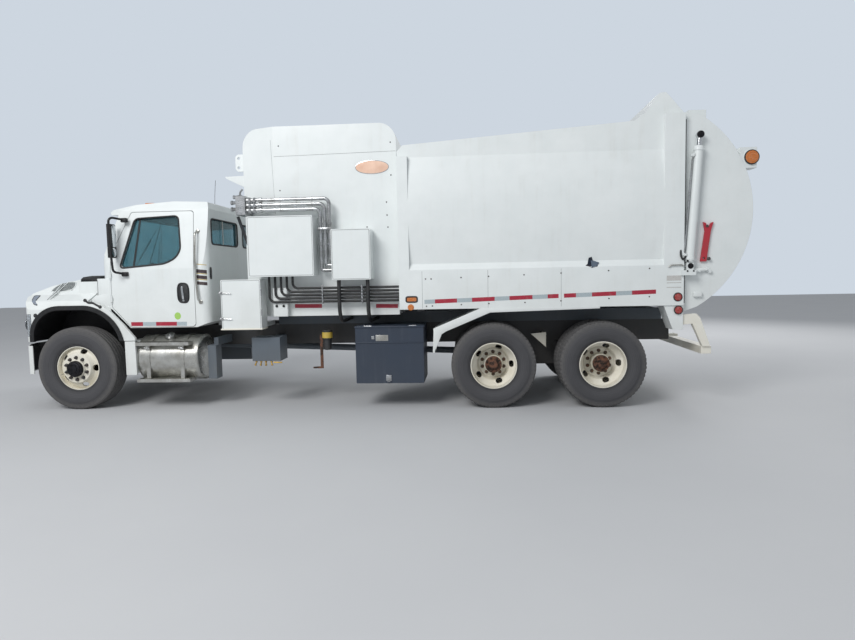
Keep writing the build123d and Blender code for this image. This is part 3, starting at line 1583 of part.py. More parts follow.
# Units hung from the rails: canister, valve box, filter, air tanks and battery box
unit_table = (
    ("x", "length", "y", "width", "z", "height"),
    (-2050, 110, -960, 170, 586, 434),
    (-1315, 365, -950, 300, 750, 300),
    (-2535, 820, 830, 540, 640, 480),
    (-2590, 780, 1145, 110, 365, 40),
    (-2590, 780, 1145, 110, 845, 40),
    (-2955, 40, 1100, 40, 605, 500),
    (-2300, 40, 1100, 40, 605, 500),
)
arm_table = (
    ("x", "length", "side", "end_y", "z", "height"),
    (-2050, 60, -1, 900, 840, 100),
    (-1315, 120, -1, 820, 850, 60),
    (-2550, 500, 1, 600, 820, 100),
)
shaft_radius = 45
with BuildPart() as underbody_units:
    for x, length, y, width, z, height in unit_table[1:]:
        with Locations((x, y, z)):
            Box(length, width, height)
    for x, length, side, end_y, z, height in arm_table[1:]:
        with Locations((x, side * (rail_outer_y + end_y) / 2, z)):
            Box(length, end_y - rail_outer_y, height)
    shaft_front = Vector(engine_x + engine_length / 2, 0, rail_top_z - rail_height + 10)
    shaft_rear = Vector(rear_axle_xs[0] - 190, 0, rear_tyre_radius + 40)
    with BuildSketch(Plane(origin=shaft_front, x_dir=(0, 1, 0), z_dir=shaft_rear - shaft_front)):
        Circle(shaft_radius)
    extrude(amount=(shaft_rear - shaft_front).length)
    add(rear_axles.part, mode=Mode.SUBTRACT)
    add(engine_block.part, mode=Mode.SUBTRACT)
save(underbody_units, "underbody_units")

# Rear underrun bar on two legs
underrun_z = 690
underrun_height = 90
underrun_leg_width = 70
leg_outline = (
    ("back", "height"),
    (0, 1000), (0, 1120), (165, 1130), (210, 1080), (330, 735), (240, 735), (120, 1010),
)
with BuildPart() as rear_bumper:
    with Locations((body_rear_x + 290, 0, underrun_z)):
        Box(120, 2 * (body_half_width - 70), underrun_height)
    for side in (-1, 1):
        with BuildSketch(Plane.XZ.offset(-side * (body_half_width - 80) - underrun_leg_width / 2)):
            with BuildLine():
                Polyline(*[(body_rear_x + back, height) for back, height in leg_outline[1:]], close=True)
            make_face()
        extrude(amount=underrun_leg_width)
save(rear_bumper, "rear_bumper")

# Lamps on the truck: side markers, pillar lamps and roof markers
side_lamp_radius = 42
rear_lamp_radius = 50
roof_lamp_x = -2950
roof_lamp_pitch = 350
with BuildPart() as lamps:
    for side in (-1, 1):
        for x, z in ((body_rear_x - 68, 1335), (body_rear_x - 60, 1180)):
            with Locations(Location((x, side * (body_half_width - 14), z), (90, 0, 0))):
                Cylinder(side_lamp_radius, 20)
        with Locations((body_front_x + 152, side * (body_half_width - 14), 1359)):
            Box(120, 20, 50)
        with Locations(Location((body_rear_x + 8, side * 1010, 1060), (0, 90, 0))):
            Cylinder(rear_lamp_radius, 16)
    for number in range(-2, 3):
        with Locations((roof_lamp_x, number * roof_lamp_pitch, cab_roof_z - 8)):
            Box(120, 60, 50)
    add(cab_shell.part, mode=Mode.SUBTRACT)
    add(body_shell.part, mode=Mode.SUBTRACT)
save(lamps, "lamps")

gate_lamp_x = rear_end_x - 95
gate_lamp_y = gate_half_width - 90
gate_lamp_z = 2955
lens_radius = 74
top_box_y = 690
with BuildPart() as tailgate_lamps:
    for side in (-1, 1):
        with Locations((gate_lamp_x, side * gate_lamp_y, gate_lamp_z)):
            Box(190, 180, 240)
        lens_middle = (gate_lamp_x + 33, side * (gate_half_width + 4), gate_lamp_z + 3)
        with Locations(Location(lens_middle, (90, 0, 0))):
            Cylinder(lens_radius + 14, 12)
            Cylinder(lens_radius, 28)
        with Locations((body_rear_x + 290, side * top_box_y, gate_top_z + 20)):
            Box(210, 160, 190)
    extrude(gate_outline(0), amount=gate_half_width, both=True, mode=Mode.SUBTRACT)
save(tailgate_lamps, "tailgate_lamps")

# Towing eyes: two at the nose and two at the rear of the rails
tow_eye_radius = 20
tow_plate_length = 320
tow_plate_width = 110
tow_plate_thickness = 30
tow_plate_z = 800
with BuildPart() as tow_eyes:
    for side in (-1, 1):
        tow_y = side * (rail_outer_y - rail_wall - tow_plate_width / 2)
        with Locations((rail_rear_x - 40, tow_y, tow_plate_z)):
            Box(tow_plate_length, tow_plate_width, tow_plate_thickness)
            with Locations((tow_plate_length / 2 - 40, 0)):
                Cylinder(tow_eye_radius, 2 * tow_plate_thickness, mode=Mode.SUBTRACT)
save(tow_eyes, "tow_eyes")
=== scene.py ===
import json
import math
from functools import partial

import bmesh
import bpy
from mathutils import Matrix, Vector
from mathutils.bvhtree import BVHTree


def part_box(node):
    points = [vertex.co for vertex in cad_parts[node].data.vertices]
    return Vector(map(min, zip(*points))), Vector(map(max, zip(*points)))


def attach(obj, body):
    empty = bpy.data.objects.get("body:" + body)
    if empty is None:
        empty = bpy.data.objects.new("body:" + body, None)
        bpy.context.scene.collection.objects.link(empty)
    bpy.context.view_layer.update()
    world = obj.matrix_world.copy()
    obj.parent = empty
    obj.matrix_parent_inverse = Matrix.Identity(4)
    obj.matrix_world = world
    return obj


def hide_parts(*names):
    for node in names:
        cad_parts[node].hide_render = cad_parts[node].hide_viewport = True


# Looks of a side-loading refuse truck. Metres, X rearward, Y to the truck's right, Z up.
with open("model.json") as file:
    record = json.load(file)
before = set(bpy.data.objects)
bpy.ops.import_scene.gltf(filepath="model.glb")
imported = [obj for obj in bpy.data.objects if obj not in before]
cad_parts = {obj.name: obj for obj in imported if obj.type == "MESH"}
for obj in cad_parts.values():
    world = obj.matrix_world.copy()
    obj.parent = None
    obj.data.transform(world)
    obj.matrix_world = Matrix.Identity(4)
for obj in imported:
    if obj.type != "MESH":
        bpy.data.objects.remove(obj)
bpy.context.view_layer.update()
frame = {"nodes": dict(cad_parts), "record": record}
nodes = frame["nodes"]
MM = 0.001
LEFT, RIGHT = -1, 1
SIDES = ((LEFT, "left"), (RIGHT, "right"))


# Colour and node helpers
def linear(hex_code):
    """An sRGB hex colour as a linear colour, opaque."""
    parts = [int(hex_code[i:i + 2], 16) / 255 for i in (1, 3, 5)]
    return tuple(c / 12.92 if c <= 0.04045 else ((c + 0.055) / 1.055) ** 2.4 for c in parts) + (1.0,)


# Kinds of node: the type, its own settings, its inputs in the order they are given, and the output it gives
KINDS = {
    "shader": ("BsdfPrincipled", {}, (), None),
    "surface": ("OutputMaterial", {}, ("Surface",), None),
    "coordinates": ("TexCoord", {}, (), "Object"),
    "split": ("SeparateXYZ", {}, ("Vector",), None),
    "join": ("CombineXYZ", {}, ("X", "Y", "Z"), 0),
    "stretch": ("Mapping", {}, ("Vector", "Scale"), 0),
    "length": ("VectorMath", {"operation": "LENGTH"}, (0,), "Value"),
    "noise": ("TexNoise", {}, ("Vector", "Scale", "Detail", "Roughness"), "Fac"),
    "cells": ("TexVoronoi", {"feature": "DISTANCE_TO_EDGE"}, ("Vector", "Scale"), "Distance"),
    "flutes": ("TexWave", {"bands_direction": "X"}, ("Vector", "Scale", "Distortion"), "Fac"),
    "range": ("MapRange", {"clamp": True}, ("Value", 1, 2, 3, 4), 0),
    "times": ("Math", {"operation": "MULTIPLY"}, (0, 1), 0),
    "plus": ("Math", {"operation": "ADD", "use_clamp": True}, (0, 1), 0),
    "sine": ("Math", {"operation": "SINE"}, (0,), 0),
    "larger": ("Math", {"operation": "MAXIMUM"}, (0, 1), 0),
    "mix": ("Mix", {"data_type": "RGBA"}, (0, 6, 7), 2),
    "bevel": ("Bevel", {"samples": 4}, ("Radius",), 0),
    "bump": ("Bump", {}, ("Height", "Distance", "Strength", "Normal"), 0),
    "rays": ("LightPath", {}, (), None),
    "sky": ("Background", {}, ("Color", "Strength"), 0),
    "blend": ("MixShader", {}, ("Fac", 1, 2), 0),
    "world": ("OutputWorld", {}, ("Surface",), None),
}
# Inputs that a kind starts from where a finish doesn't give its own
STARTS = {"noise": {"Detail": 4.0, "Roughness": 0.55}}
# Metres between the bands of a wave texture at scale 1
WAVE_SPACING = 0.31


def add_node(tree, kind, *inputs):
    """Adds a node of a kind with its settings and its inputs, as values or as links, and gives its output."""
    type_name, settings, order, output = KINDS[kind]
    node = tree.nodes.new("ShaderNode" + type_name)
    for key, value in settings.items():
        setattr(node, key, value)
    for key, value in (*STARTS.get(kind, {}).items(), *zip(order, inputs)):
        if isinstance(value, bpy.types.NodeSocket):
            tree.links.new(value, node.inputs[key])
        else:
            node.inputs[key].default_value = value
    return node if output is None else node.outputs[output]


def start_material(name):
    """An empty material, the function that adds its nodes, its shader, and the row frame's coordinates."""
    material = bpy.data.materials.new(name)
    material.use_nodes = True
    tree = material.node_tree
    tree.nodes.clear()
    add = partial(add_node, tree)
    shader = add("shader")
    add("surface", shader.outputs[0])
    return material, tree, add, shader, add("coordinates")


# Height in metres over which road dust thickens below its upper edge
DUST_FADE = 1.1


def painted_steel(name, paint, shade, dirt, roughness=0.32, dirt_top=1.6, dirt_share=0.5, streak=0.25, coat=0.35):
    """Sprayed enamel on sheet steel: soft gloss, faint ripple, road dust low down and rain streaks."""
    material, tree, add, shader, place = start_material(name)
    height = add("split", place).outputs["Z"]
    low = add("range", height, dirt_top, dirt_top - DUST_FADE)
    patches = add("noise", place, 1 / 0.35, 6.0)
    specks = add("noise", place, 1 / 0.012, 3.0)
    streaks = add("noise", add("stretch", place, (14.0, 14.0, 0.8)), 1.0, 4.0)
    dust = add("times", low, add("range", patches, 0.3, 0.7, dirt_share * 0.4, dirt_share))
    runs = add("times", add("range", streaks, 0.52, 0.75), add("times", add("range", patches, 0.4, 0.7), streak))
    spots = add("times", add("range", specks, 0.66, 0.74), add("times", low, 0.5))
    clean = add("mix", add("range", patches, 0.3, 0.75), linear(paint), linear(shade))
    grime = add("plus", add("plus", dust, runs), spots)
    shader.inputs["Base Color"].default_value = linear(paint)
    tree.links.new(add("mix", grime, clean, linear(dirt)), shader.inputs["Base Color"])
    tree.links.new(add("range", grime, 0.0, 0.8, roughness, 0.75), shader.inputs["Roughness"])
    shader.inputs["Coat Weight"].default_value = coat
    shader.inputs["Coat Roughness"].default_value = 0.12
    edge = add("bevel", 4 * MM)
    ripple = add("bump", add("noise", place, 1 / 0.25, 2.0), 2.5 * MM, 0.5, edge)
    tree.links.new(add("bump", add("noise", place, 1 / 0.006, 2.0), 0.12 * MM, 0.35, ripple), shader.inputs["Normal"])
    return material


def bare_metal(name, base, tarnish, roughness=0.3, grain=(1.0, 1.0, 60.0), rust=0.0, rust_hex="#6e4a30"):
    """Uncoated metal: drawn or brushed grain, dull patches, and rust where it is left to weather."""
    material, tree, add, shader, place = start_material(name)
    lines = add("noise", add("stretch", place, grain), 1 / 0.05, 5.0)
    patches = add("noise", place, 1 / 0.12, 5.0)
    colour = add("mix", add("range", patches, 0.35, 0.7), linear(base), linear(tarnish))
    rusty = add("times", add("range", add("noise", place, 1 / 0.05, 6.0, 0.65), 0.42, 0.6), rust)
    tree.links.new(add("mix", rusty, colour, linear(rust_hex)), shader.inputs["Base Color"])
    tree.links.new(add("range", rusty, 0.0, 0.6, 1.0, 0.1), shader.inputs["Metallic"])
    spread = add("range", lines, 0.3, 0.7, roughness - 0.08, roughness + 0.12)
    tree.links.new(add("plus", spread, add("times", rusty, 0.5)), shader.inputs["Roughness"])
    tree.links.new(add("bump", lines, 0.15 * MM, 0.4), shader.inputs["Normal"])
    return material


def moulded(name, base, worn, roughness=0.55, grain=0.004, depth=0.25, dust="#8d857a", dusty=0.25):
    """Moulded rubber or plastic: a fine matt skin with paler dust lying on it."""
    material, tree, add, shader, place = start_material(name)
    patches = add("noise", place, 1 / 0.09, 6.0)
    skin = add("noise", place, 1 / grain, 3.0)
    colour = add("mix", add("range", patches, 0.35, 0.7), linear(base), linear(worn))
    dust_share = add("times", add("range", add("noise", place, 1 / 0.03, 5.0), 0.45, 0.75), dusty)
    tree.links.new(add("mix", dust_share, colour, linear(dust)), shader.inputs["Base Color"])
    tree.links.new(add("range", patches, 0.3, 0.7, roughness - 0.06, roughness + 0.1), shader.inputs["Roughness"])
    tree.links.new(add("bump", skin, depth * MM, 0.4), shader.inputs["Normal"])
    return material


# Metres between a lens's flutes, the gloss of its skin, and its index of refraction
LENS_FLUTES, LENS_ROUGHNESS, LENS_IOR = 0.012, 0.08, 1.49


def clear_lens(name, tint, transmission):
    """Moulded lens: clear or dyed plastic with fine vertical flutes inside."""
    material, tree, add, shader, place = start_material(name)
    flutes = add("flutes", place, WAVE_SPACING / LENS_FLUTES, 0.0)
    haze = add("noise", place, 1 / 0.02, 4.0)
    shader.inputs["Base Color"].default_value = linear(tint)
    tree.links.new(
        add("mix", add("range", haze, 0.3, 0.8, 0.0, 0.25), linear(tint), linear("#e8e2d8")),
        shader.inputs["Base Color"],
    )
    shader.inputs["Transmission Weight"].default_value = transmission
    shader.inputs["IOR"].default_value = LENS_IOR
    gloss = add("range", haze, 0.3, 0.8, LENS_ROUGHNESS, LENS_ROUGHNESS + 0.12)
    tree.links.new(gloss, shader.inputs["Roughness"])
    tree.links.new(add("bump", flutes, 0.4 * MM, 0.5), shader.inputs["Normal"])
    return material


def tinted_glass(name, tint, dust_hex):
    """Float glass with a green-grey tint and a patchy film of dust."""
    material, tree, add, shader, place = start_material(name)
    film = add("range", add("noise", place, 1 / 0.15, 5.0), 0.4, 0.8, 0.02, 0.14)
    tree.links.new(add("mix", film, linear(tint), linear(dust_hex)), shader.inputs["Base Color"])
    tree.links.new(add("range", film, 0.0, 0.2, 0.02, 0.12), shader.inputs["Roughness"])
    tree.links.new(add("range", film, 0.0, 0.2, 0.92, 0.8), shader.inputs["Transmission Weight"])
    shader.inputs["IOR"].default_value = 1.45
    return material


# White acrylic enamel, sprayed: cool and glossy above, greyed with road dust below
white_enamel = painted_steel(
    "white_enamel", "#eaeeed", "#e2e7e6", "#b3a998", dirt_top=1.7, dirt_share=0.28, streak=0.14
)
# The same enamel on the arm and packer, scuffed by bins
scuffed_enamel = painted_steel(
    "scuffed_enamel", "#dcdcd8", "#c4c2ba", "#7d7468", 0.45, dirt_top=2.6, dirt_share=0.7, streak=0.5, coat=0.1
)
# Cream enamel on the disc wheels and rear bar, dulled by brake dust
cream_enamel = painted_steel(
    "cream_enamel", "#eeebe0", "#e5e0cf", "#b3a183", 0.4, dirt_top=1.3, dirt_share=0.2, streak=0.2, coat=0.15
)
# Blue-grey chassis enamel on the sub-frame, satin and dusty
blue_grey_enamel = painted_steel(
    "blue_grey_enamel", "#46525e", "#3b4650", "#7f7b74", 0.45, dirt_top=1.7, dirt_share=0.4, coat=0.1
)
# Black chassis enamel, satin, with pale dust
chassis_enamel = painted_steel(
    "chassis_enamel", "#24282d", "#1b1e22", "#6d665d", 0.5, dirt_top=1.5, dirt_share=0.4, coat=0.1
)
# Cast iron under black paint that has weathered to brown
weathered_iron = bare_metal("weathered_iron", "#3a3835", "#2b2927", 0.6, (3.0, 3.0, 3.0), 0.5, "#5c4433")
# Brushed aluminium of the fuel tank: fine lines round it, with soft stains
brushed_aluminium = bare_metal("brushed_aluminium", "#cfcfcb", "#a9a7a0", 0.28, (90.0, 1.0, 1.0), 0.06, "#8f8576")
# Zinc-plated hydraulic pipe: bright drawn steel
zinc_pipe = bare_metal("zinc_pipe", "#c3c6c9", "#9a9b9a", 0.25, (1.0, 1.0, 30.0), 0.08)
# Hard chrome on the cylinder rods
hard_chrome = bare_metal("hard_chrome", "#d6d8da", "#c8cacc", 0.12, (1.0, 1.0, 8.0), 0.0)

# Distance in metres between the rings that the mould leaves in a tyre's sidewall
RING_SPACING = 0.021


def tyre_sidewall(name, base, worn, dust):
    """Vulcanised rubber: matt, with faint rings from the mould and dust that gathers in bands round the tyre."""
    material, tree, add, shader, place = start_material(name)
    parts = add("split", place)
    radius = add("length", add("join", parts.outputs["X"], 0.0, parts.outputs["Z"]))
    patches = add("noise", place, 1 / 0.12, 5.0)
    waves = add("times", radius, 2 * math.pi / RING_SPACING)
    rings = add("sine", waves)
    colour = add("mix", add("range", patches, 0.3, 0.7), linear(base), linear(worn))
    spread = add("range", add("noise", place, 1 / 0.025, 5.0), 0.3, 0.7, 0.25, 0.7)
    shoulder = add("times", add("range", radius, 0.44, 0.5), spread)
    banded = add("plus", add("times", add("range", rings, 0.2, 1.0), 0.1), add("times", shoulder, 0.6))
    bead = add("range", radius, 0.335, 0.3, 0.0, 0.55)
    dusty = add("mix", banded, colour, linear(dust))
    tree.links.new(add("mix", bead, dusty, linear("#2a2a2c")), shader.inputs["Base Color"])
    tree.links.new(add("range", patches, 0.3, 0.7, 0.7, 0.88), shader.inputs["Roughness"])
    tree.links.new(add("bump", rings, 0.6 * MM, 0.5), shader.inputs["Normal"])
    return material


# Tyre rubber: dark grey with paler dust at the shoulder, and mould rings drawn 21 mm apart so that they show
tyre_rubber = tyre_sidewall("tyre_rubber", "#424245", "#4a4a4d", "#75726d")
# Hose rubber: blacker and smoother
hose_rubber = moulded("hose_rubber", "#1b1c1e", "#2a2b2d", 0.5, 0.003, 0.2, "#77716a", 0.2)
# Black polypropylene of mirrors, grille, flares and linings; the bumper's lining also paints the shade on the
# bumper's inner face
black_polypropylene = moulded("black_polypropylene", "#111214", "#1a1b1e", 0.5, 0.003, 0.2, "#6b665f", 0.08)
# Grey ABS of the dashboard
grey_abs = moulded("grey_abs", "#5a5c60", "#4c4e52", 0.6, 0.002, 0.15, "#8d857a", 0.1)
# Seat vinyl: dark grey with a fine leather grain
seat_vinyl = moulded("seat_vinyl", "#3d3e42", "#303135", 0.55, 0.004, 0.5, "#8d857a", 0.08)
# Polycarbonate lenses: clear, the hood's smoky signal lamps, amber and red
clear_polycarbonate = clear_lens("clear_polycarbonate", "#dfe5ea", 0.75)
signal_polycarbonate = clear_lens("signal_polycarbonate", "#8a96a8", 0.3)
amber_polycarbonate = clear_lens("amber_polycarbonate", "#e07a16", 0.25)
red_polycarbonate = clear_lens("red_polycarbonate", "#b01f1c", 0.2)
# Red acrylic enamel of the tailgate's props, chalked by the sun
red_enamel = painted_steel(
    "red_enamel", "#c0283a", "#a82434", "#8b6a5c", 0.4, dirt_top=2.4, dirt_share=0.25, coat=0.2
)
# The tool box's dark blue-grey enamel, streaked with dust
tool_box_enamel = painted_steel(
    "tool_box_enamel", "#2d3848", "#273140", "#6a6f76", 0.45, dirt_top=1.2, dirt_share=0.2, streak=0.3, coat=0.05
)
# Grey enamel on the canister, valve box and battery box, streaked
grey_unit_enamel = painted_steel(
    "grey_unit_enamel", "#5b656f", "#4d5660", "#8a8880", 0.42, dirt_top=1.2, dirt_share=0.35, streak=0.4, coat=0.1
)
# Sheet steel at the body's damage: in the tear a dark sheet that paints the shade in the hole, paler on the flap that
# is bent out
tear_shade_steel = bare_metal("tear_shade_steel", "#2c3542", "#3d4754", 0.45, (5.0, 5.0, 5.0), 0.15)
bent_steel = bare_metal("bent_steel", "#6f7c8b", "#5b6877", 0.5, (5.0, 5.0, 5.0), 0.1)
# Rusted cast iron of hubs and drums: matt brown scale
rusted_iron = bare_metal("rusted_iron", "#4f4742", "#3d3632", 0.65, (3.0, 3.0, 3.0), 0.85, "#7b5340")
# Zinc nuts on the driven wheels, gone brown
rusted_nut_steel = bare_metal("rusted_nut_steel", "#6b625a", "#4f4842", 0.5, (4.0, 4.0, 4.0), 0.7, "#75513c")
# Greased iron of the front hub and the pins
oily_iron = bare_metal("oily_iron", "#35363a", "#242528", 0.42, (4.0, 4.0, 4.0), 0.1, "#4d3c30")
# Small bolts and rivets, dulled to dark grey; also the front wheel nuts, where the dark grey is painted shade round
# nuts that are cream
dark_bolt_steel_and_nut_shade = bare_metal("dark_bolt_steel_and_nut_shade", "#5d6062", "#46484a", 0.45, (6.0, 6.0, 6.0), 0.35, "#6b4c38")
# Raw brass of the drain taps
raw_brass = bare_metal("raw_brass", "#c9a55a", "#9a7c42", 0.35, (8.0, 8.0, 8.0), 0.1, "#6a5638")
# Brushed copper plate of the blank badge
brushed_copper = bare_metal("brushed_copper", "#d9bba8", "#c9a793", 0.4, (1.0, 1.0, 60.0), 0.0)
# Silvered glass of the mirrors
mirror_silver = bare_metal("mirror_silver", "#dfe4e8", "#d4dade", 0.1, (1.0, 1.0, 1.0), 0.0)


def sheeting(name, base, cell_tint, roughness=0.35, cell=0.0045):
    """Sticky plastic sheet with a fine honeycomb of cells, drawn 4.5 mm wide so that it shows."""
    material, tree, add, shader, place = start_material(name)
    edge = add("range", add("cells", place, 1 / cell), 0.02, 0.12)
    worn = add("noise", place, 1 / 0.06, 5.0)
    colour = add("mix", edge, linear(cell_tint), linear(base))
    dirt = add("range", worn, 0.55, 0.8, 0.0, 0.3)
    tree.links.new(add("mix", dirt, colour, linear("#9a9288")), shader.inputs["Base Color"])
    tree.links.new(add("range", worn, 0.3, 0.8, roughness, roughness + 0.2), shader.inputs["Roughness"])
    shader.inputs["Coat Weight"].default_value = 0.4
    return material


# Retro-reflective acrylic sheeting, red and silver
red_sheeting = sheeting("red_sheeting", "#b3203a", "#8f1a2f")
silver_sheeting = sheeting("silver_sheeting", "#b4c0c4", "#9aa7ac")
# Printed vinyl stripes: ochre, brown, lime and a faded grey
ochre_vinyl = sheeting("ochre_vinyl", "#cdb04a", "#bfa242", 0.45)
brown_vinyl = sheeting("brown_vinyl", "#3c3034", "#4a3a3c", 0.45)
lime_vinyl = sheeting("lime_vinyl", "#a9d468", "#9cc85e", 0.45)
faded_vinyl = sheeting("faded_vinyl", "#b9b6b2", "#d8d8d4", 0.5)
# Polyurethane sealant in the seams, grey with dust
seam_sealant = moulded("seam_sealant", "#a9adad", "#8f9393", 0.7, 0.003, 0.1, "#8d857a", 0.3)
# Rubber heads of the bolts on the grippers' pads
rubber_pad = moulded("rubber_pad", "#202124", "#2e2f31", 0.7, 0.004, 0.3, "#77716a", 0.3)
# Woven wire in the hood's vent, drawn with 12 mm meshes so that it shows
vent_mesh = sheeting("vent_mesh", "#6d7474", "#b7bcba", 0.5, 0.012)

# Tinted toughened glass
cab_glazing = tinted_glass("cab_glazing", "#8fbac2", "#a9b4b4")

CAD_FINISH = {
    "white_paint": white_enamel,
    "blue_grey_paint": blue_grey_enamel,
    "chassis_black": chassis_enamel,
    "cast_iron": weathered_iron,
    "underbody_grey": grey_unit_enamel,
    "white_arm_paint": scuffed_enamel,
    "red_paint": red_enamel,
    "cream_steel": cream_enamel,
    "tyre_rubber": tyre_rubber,
    "glazing": cab_glazing,
    "black_plastic": black_polypropylene,
    "grey_plastic": grey_abs,
    "seat_vinyl": seat_vinyl,
    "tank_aluminium": brushed_aluminium,
    "bright_steel": zinc_pipe,
    "cylinder_white": white_enamel,
    "rod_chrome": hard_chrome,
    "hose_rubber": hose_rubber,
    "headlamp_lens": clear_polycarbonate,
    "lamp_lens": amber_polycarbonate,
    "lamp_box_paint": white_enamel,
    "worn_cream_steel": cream_enamel,
}
NODE_FINISH = {"tool_box": tool_box_enamel, "front_bumper": white_enamel}
for row in frame["record"]["subparts"]:
    data = nodes[row["node"]].data
    data.materials.clear()
    data.materials.append(NODE_FINISH.get(row["node"], CAD_FINISH[row["material_slot"]]))

# Camera, as the photograph was taken
CAMERA_PLACE = Vector((1.2814, -8.5732, 1.6565))
YAW, PITCH, ROLL = -0.0705037, -0.0748065, -0.0198477
FOCAL_PIXELS = 602.886
PHOTO_WIDTH = 855
SENSOR = 36.0
forward = Vector((math.sin(YAW) * math.cos(PITCH), math.cos(YAW) * math.cos(PITCH), math.sin(PITCH)))
level_right = forward.cross(Vector((0, 0, 1))).normalized()
level_up = level_right.cross(forward)
right = level_right * math.cos(ROLL) + level_up * math.sin(ROLL)
up = level_up * math.cos(ROLL) - level_right * math.sin(ROLL)
camera = bpy.data.objects.new("camera", bpy.data.cameras.new("camera"))
bpy.context.scene.collection.objects.link(camera)
camera.matrix_world = Matrix(
    (
        (right.x, up.x, -forward.x, CAMERA_PLACE.x),
        (right.y, up.y, -forward.y, CAMERA_PLACE.y),
        (right.z, up.z, -forward.z, CAMERA_PLACE.z),
        (0, 0, 0, 1),
    )
)
camera.data.sensor_width = SENSOR
camera.data.lens = FOCAL_PIXELS * SENSOR / PHOTO_WIDTH
bpy.context.scene.camera = camera
bpy.context.scene.view_settings.view_transform = "Standard"

# Floor and light
FLOOR_SIZE = 60.0
bpy.ops.mesh.primitive_plane_add(size=FLOOR_SIZE)
floor = bpy.context.object
floor.name = "floor"
floor_finish, tree, add, shader, place = start_material("pale_floor")
tree.links.new(
    add("mix", add("noise", place, 1 / 1.5), linear("#c6c7c8"), linear("#bfc0c2")), shader.inputs["Base Color"]
)
shader.inputs["Roughness"].default_value = 0.9
floor.data.materials.append(floor_finish)

world = bpy.data.worlds.new("studio")
bpy.context.scene.world = world
world.use_nodes = True
tree = world.node_tree
tree.nodes.clear()
add = partial(add_node, tree)
rays = add("rays")
seen = add("larger", rays.outputs["Is Camera Ray"], rays.outputs["Is Transmission Ray"])
dome = add("sky", linear("#dfe4ea"), 0.6)
backdrop = add("sky", linear("#cdd6e0"), 1.0)
add("world", add("blend", seen, dome, backdrop))


def soft_light(name, place, target, size, watts):
    """A square lamp that faces a target."""
    lamp = bpy.data.lights.new(name, "AREA")
    lamp.shape = "SQUARE"
    lamp.size = size
    lamp.energy = watts
    holder = bpy.data.objects.new(name, lamp)
    bpy.context.scene.collection.objects.link(holder)
    holder.location = place
    holder.rotation_mode = "QUATERNION"
    holder.rotation_quaternion = (Vector(target) - Vector(place)).to_track_quat("-Z", "Y")
    return holder


soft_light("key_light", (-5, -11, 10), (0, 0, 1.5), 6.0, 1250)
soft_light("fill_light", (8, 9, 8), (0, 0, 1.5), 7.0, 600)


# Shape helpers: all sizes in millimetres
def new_part():
    """A mesh under construction, empty."""
    return bmesh.new()


def finish_part(name, part, finish, body, angle=35.0, place=(0, 0, 0)):
    """Turns a mesh under construction into a piece that rides on a body."""
    bmesh.ops.recalc_face_normals(part, faces=part.faces)
    mesh = bpy.data.meshes.new(name)
    part.to_mesh(mesh)
    part.free()
    mesh.shade_smooth()
    mesh.set_sharp_from_angle(angle=math.radians(angle))
    mesh.materials.append(finish)
    piece = bpy.data.objects.new(name, mesh)
    bpy.context.scene.collection.objects.link(piece)
    piece.location = Vector(place) * MM
    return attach(piece, body)


def merge(part, extra):
    """Adds one mesh under construction to another."""
    holder = bpy.data.meshes.new("holder")
    extra.to_mesh(holder)
    extra.free()
    part.from_mesh(holder)
    bpy.data.meshes.remove(holder)


def add_block(part, low, high, edge=4.0, segments=2):
    """A block between two corners, with rounded edges."""
    extra = bmesh.new()
    bmesh.ops.create_cube(extra, size=1.0)
    for vert in extra.verts:
        vert.co = Vector([(low[i] + (vert.co[i] + 0.5) * (high[i] - low[i])) * MM for i in range(3)])
    bmesh.ops.bevel(extra, geom=extra.edges[:], offset=edge * MM, segments=segments, profile=0.5, affect="EDGES")
    merge(part, extra)


def add_turned(part, centre, axis, profile, steps=32):
    """A turned part: (height, radius) pairs spun about an axis."""
    axis = Vector(axis).normalized()
    across = axis.orthogonal().normalized()
    other = axis.cross(across)
    rings = []
    for height, radius in profile:
        foot = (Vector(centre) + axis * height) * MM
        if radius == 0:
            rings.append([part.verts.new(foot)])
            continue
        angles = [2 * math.pi * i / steps for i in range(steps)]
        rings.append(
            [part.verts.new(foot + (across * math.cos(a) + other * math.sin(a)) * radius * MM) for a in angles]
        )
    for low, high in zip(rings, rings[1:]):
        for i in range(steps):
            j = (i + 1) % steps
            corners = (low[i % len(low)], low[j % len(low)], high[j % len(high)], high[i % len(high)])
            corners = list(dict.fromkeys(corners))
            if len(corners) > 2:
                part.faces.new(corners)


def add_nut(part, centre, axis, across, height, stud=0.0):
    """A hexagon nut or bolt head with its washer, and the stud that stands out of it."""
    radius = across / math.sqrt(3)
    add_turned(part, centre, axis, ((0, 0), (0, radius * 1.2), (2, radius * 1.2), (2.5, radius * 0.9)), 20)
    add_turned(part, centre, axis, ((2, radius), (height - 1.5, radius), (height, radius * 0.86), (height, 0)), 6)
    if stud:
        thick = across * 0.33
        tip = height + stud
        add_turned(part, centre, axis, ((height, thick), (tip - 2, thick), (tip, thick * 0.8), (tip, 0)), 12)


def add_dome(part, centre, axis, radius, height):
    """A rivet's or button screw's domed head."""
    dome = ((0, radius), (height * 0.5, radius * 0.92), (height * 0.85, radius * 0.6), (height, 0))
    add_turned(part, centre, axis, dome, 10)


def rounded(points, radius, steps=5, closed=False):
    """A run of points whose corners are turned to curves."""
    points = [Vector(p) for p in points]
    run = []
    for i, corner in enumerate(points):
        if not closed and i in (0, len(points) - 1):
            run.append(corner)
            continue
        before, after = points[i - 1] - corner, points[(i + 1) % len(points)] - corner
        cut = min(radius, before.length * 0.48, after.length * 0.48)
        start, end = corner + before.normalized() * cut, corner + after.normalized() * cut
        for s in range(steps + 1):
            t = s / steps
            run.append(start * (1 - t) ** 2 + corner * 2 * t * (1 - t) + end * t * t)
    return run


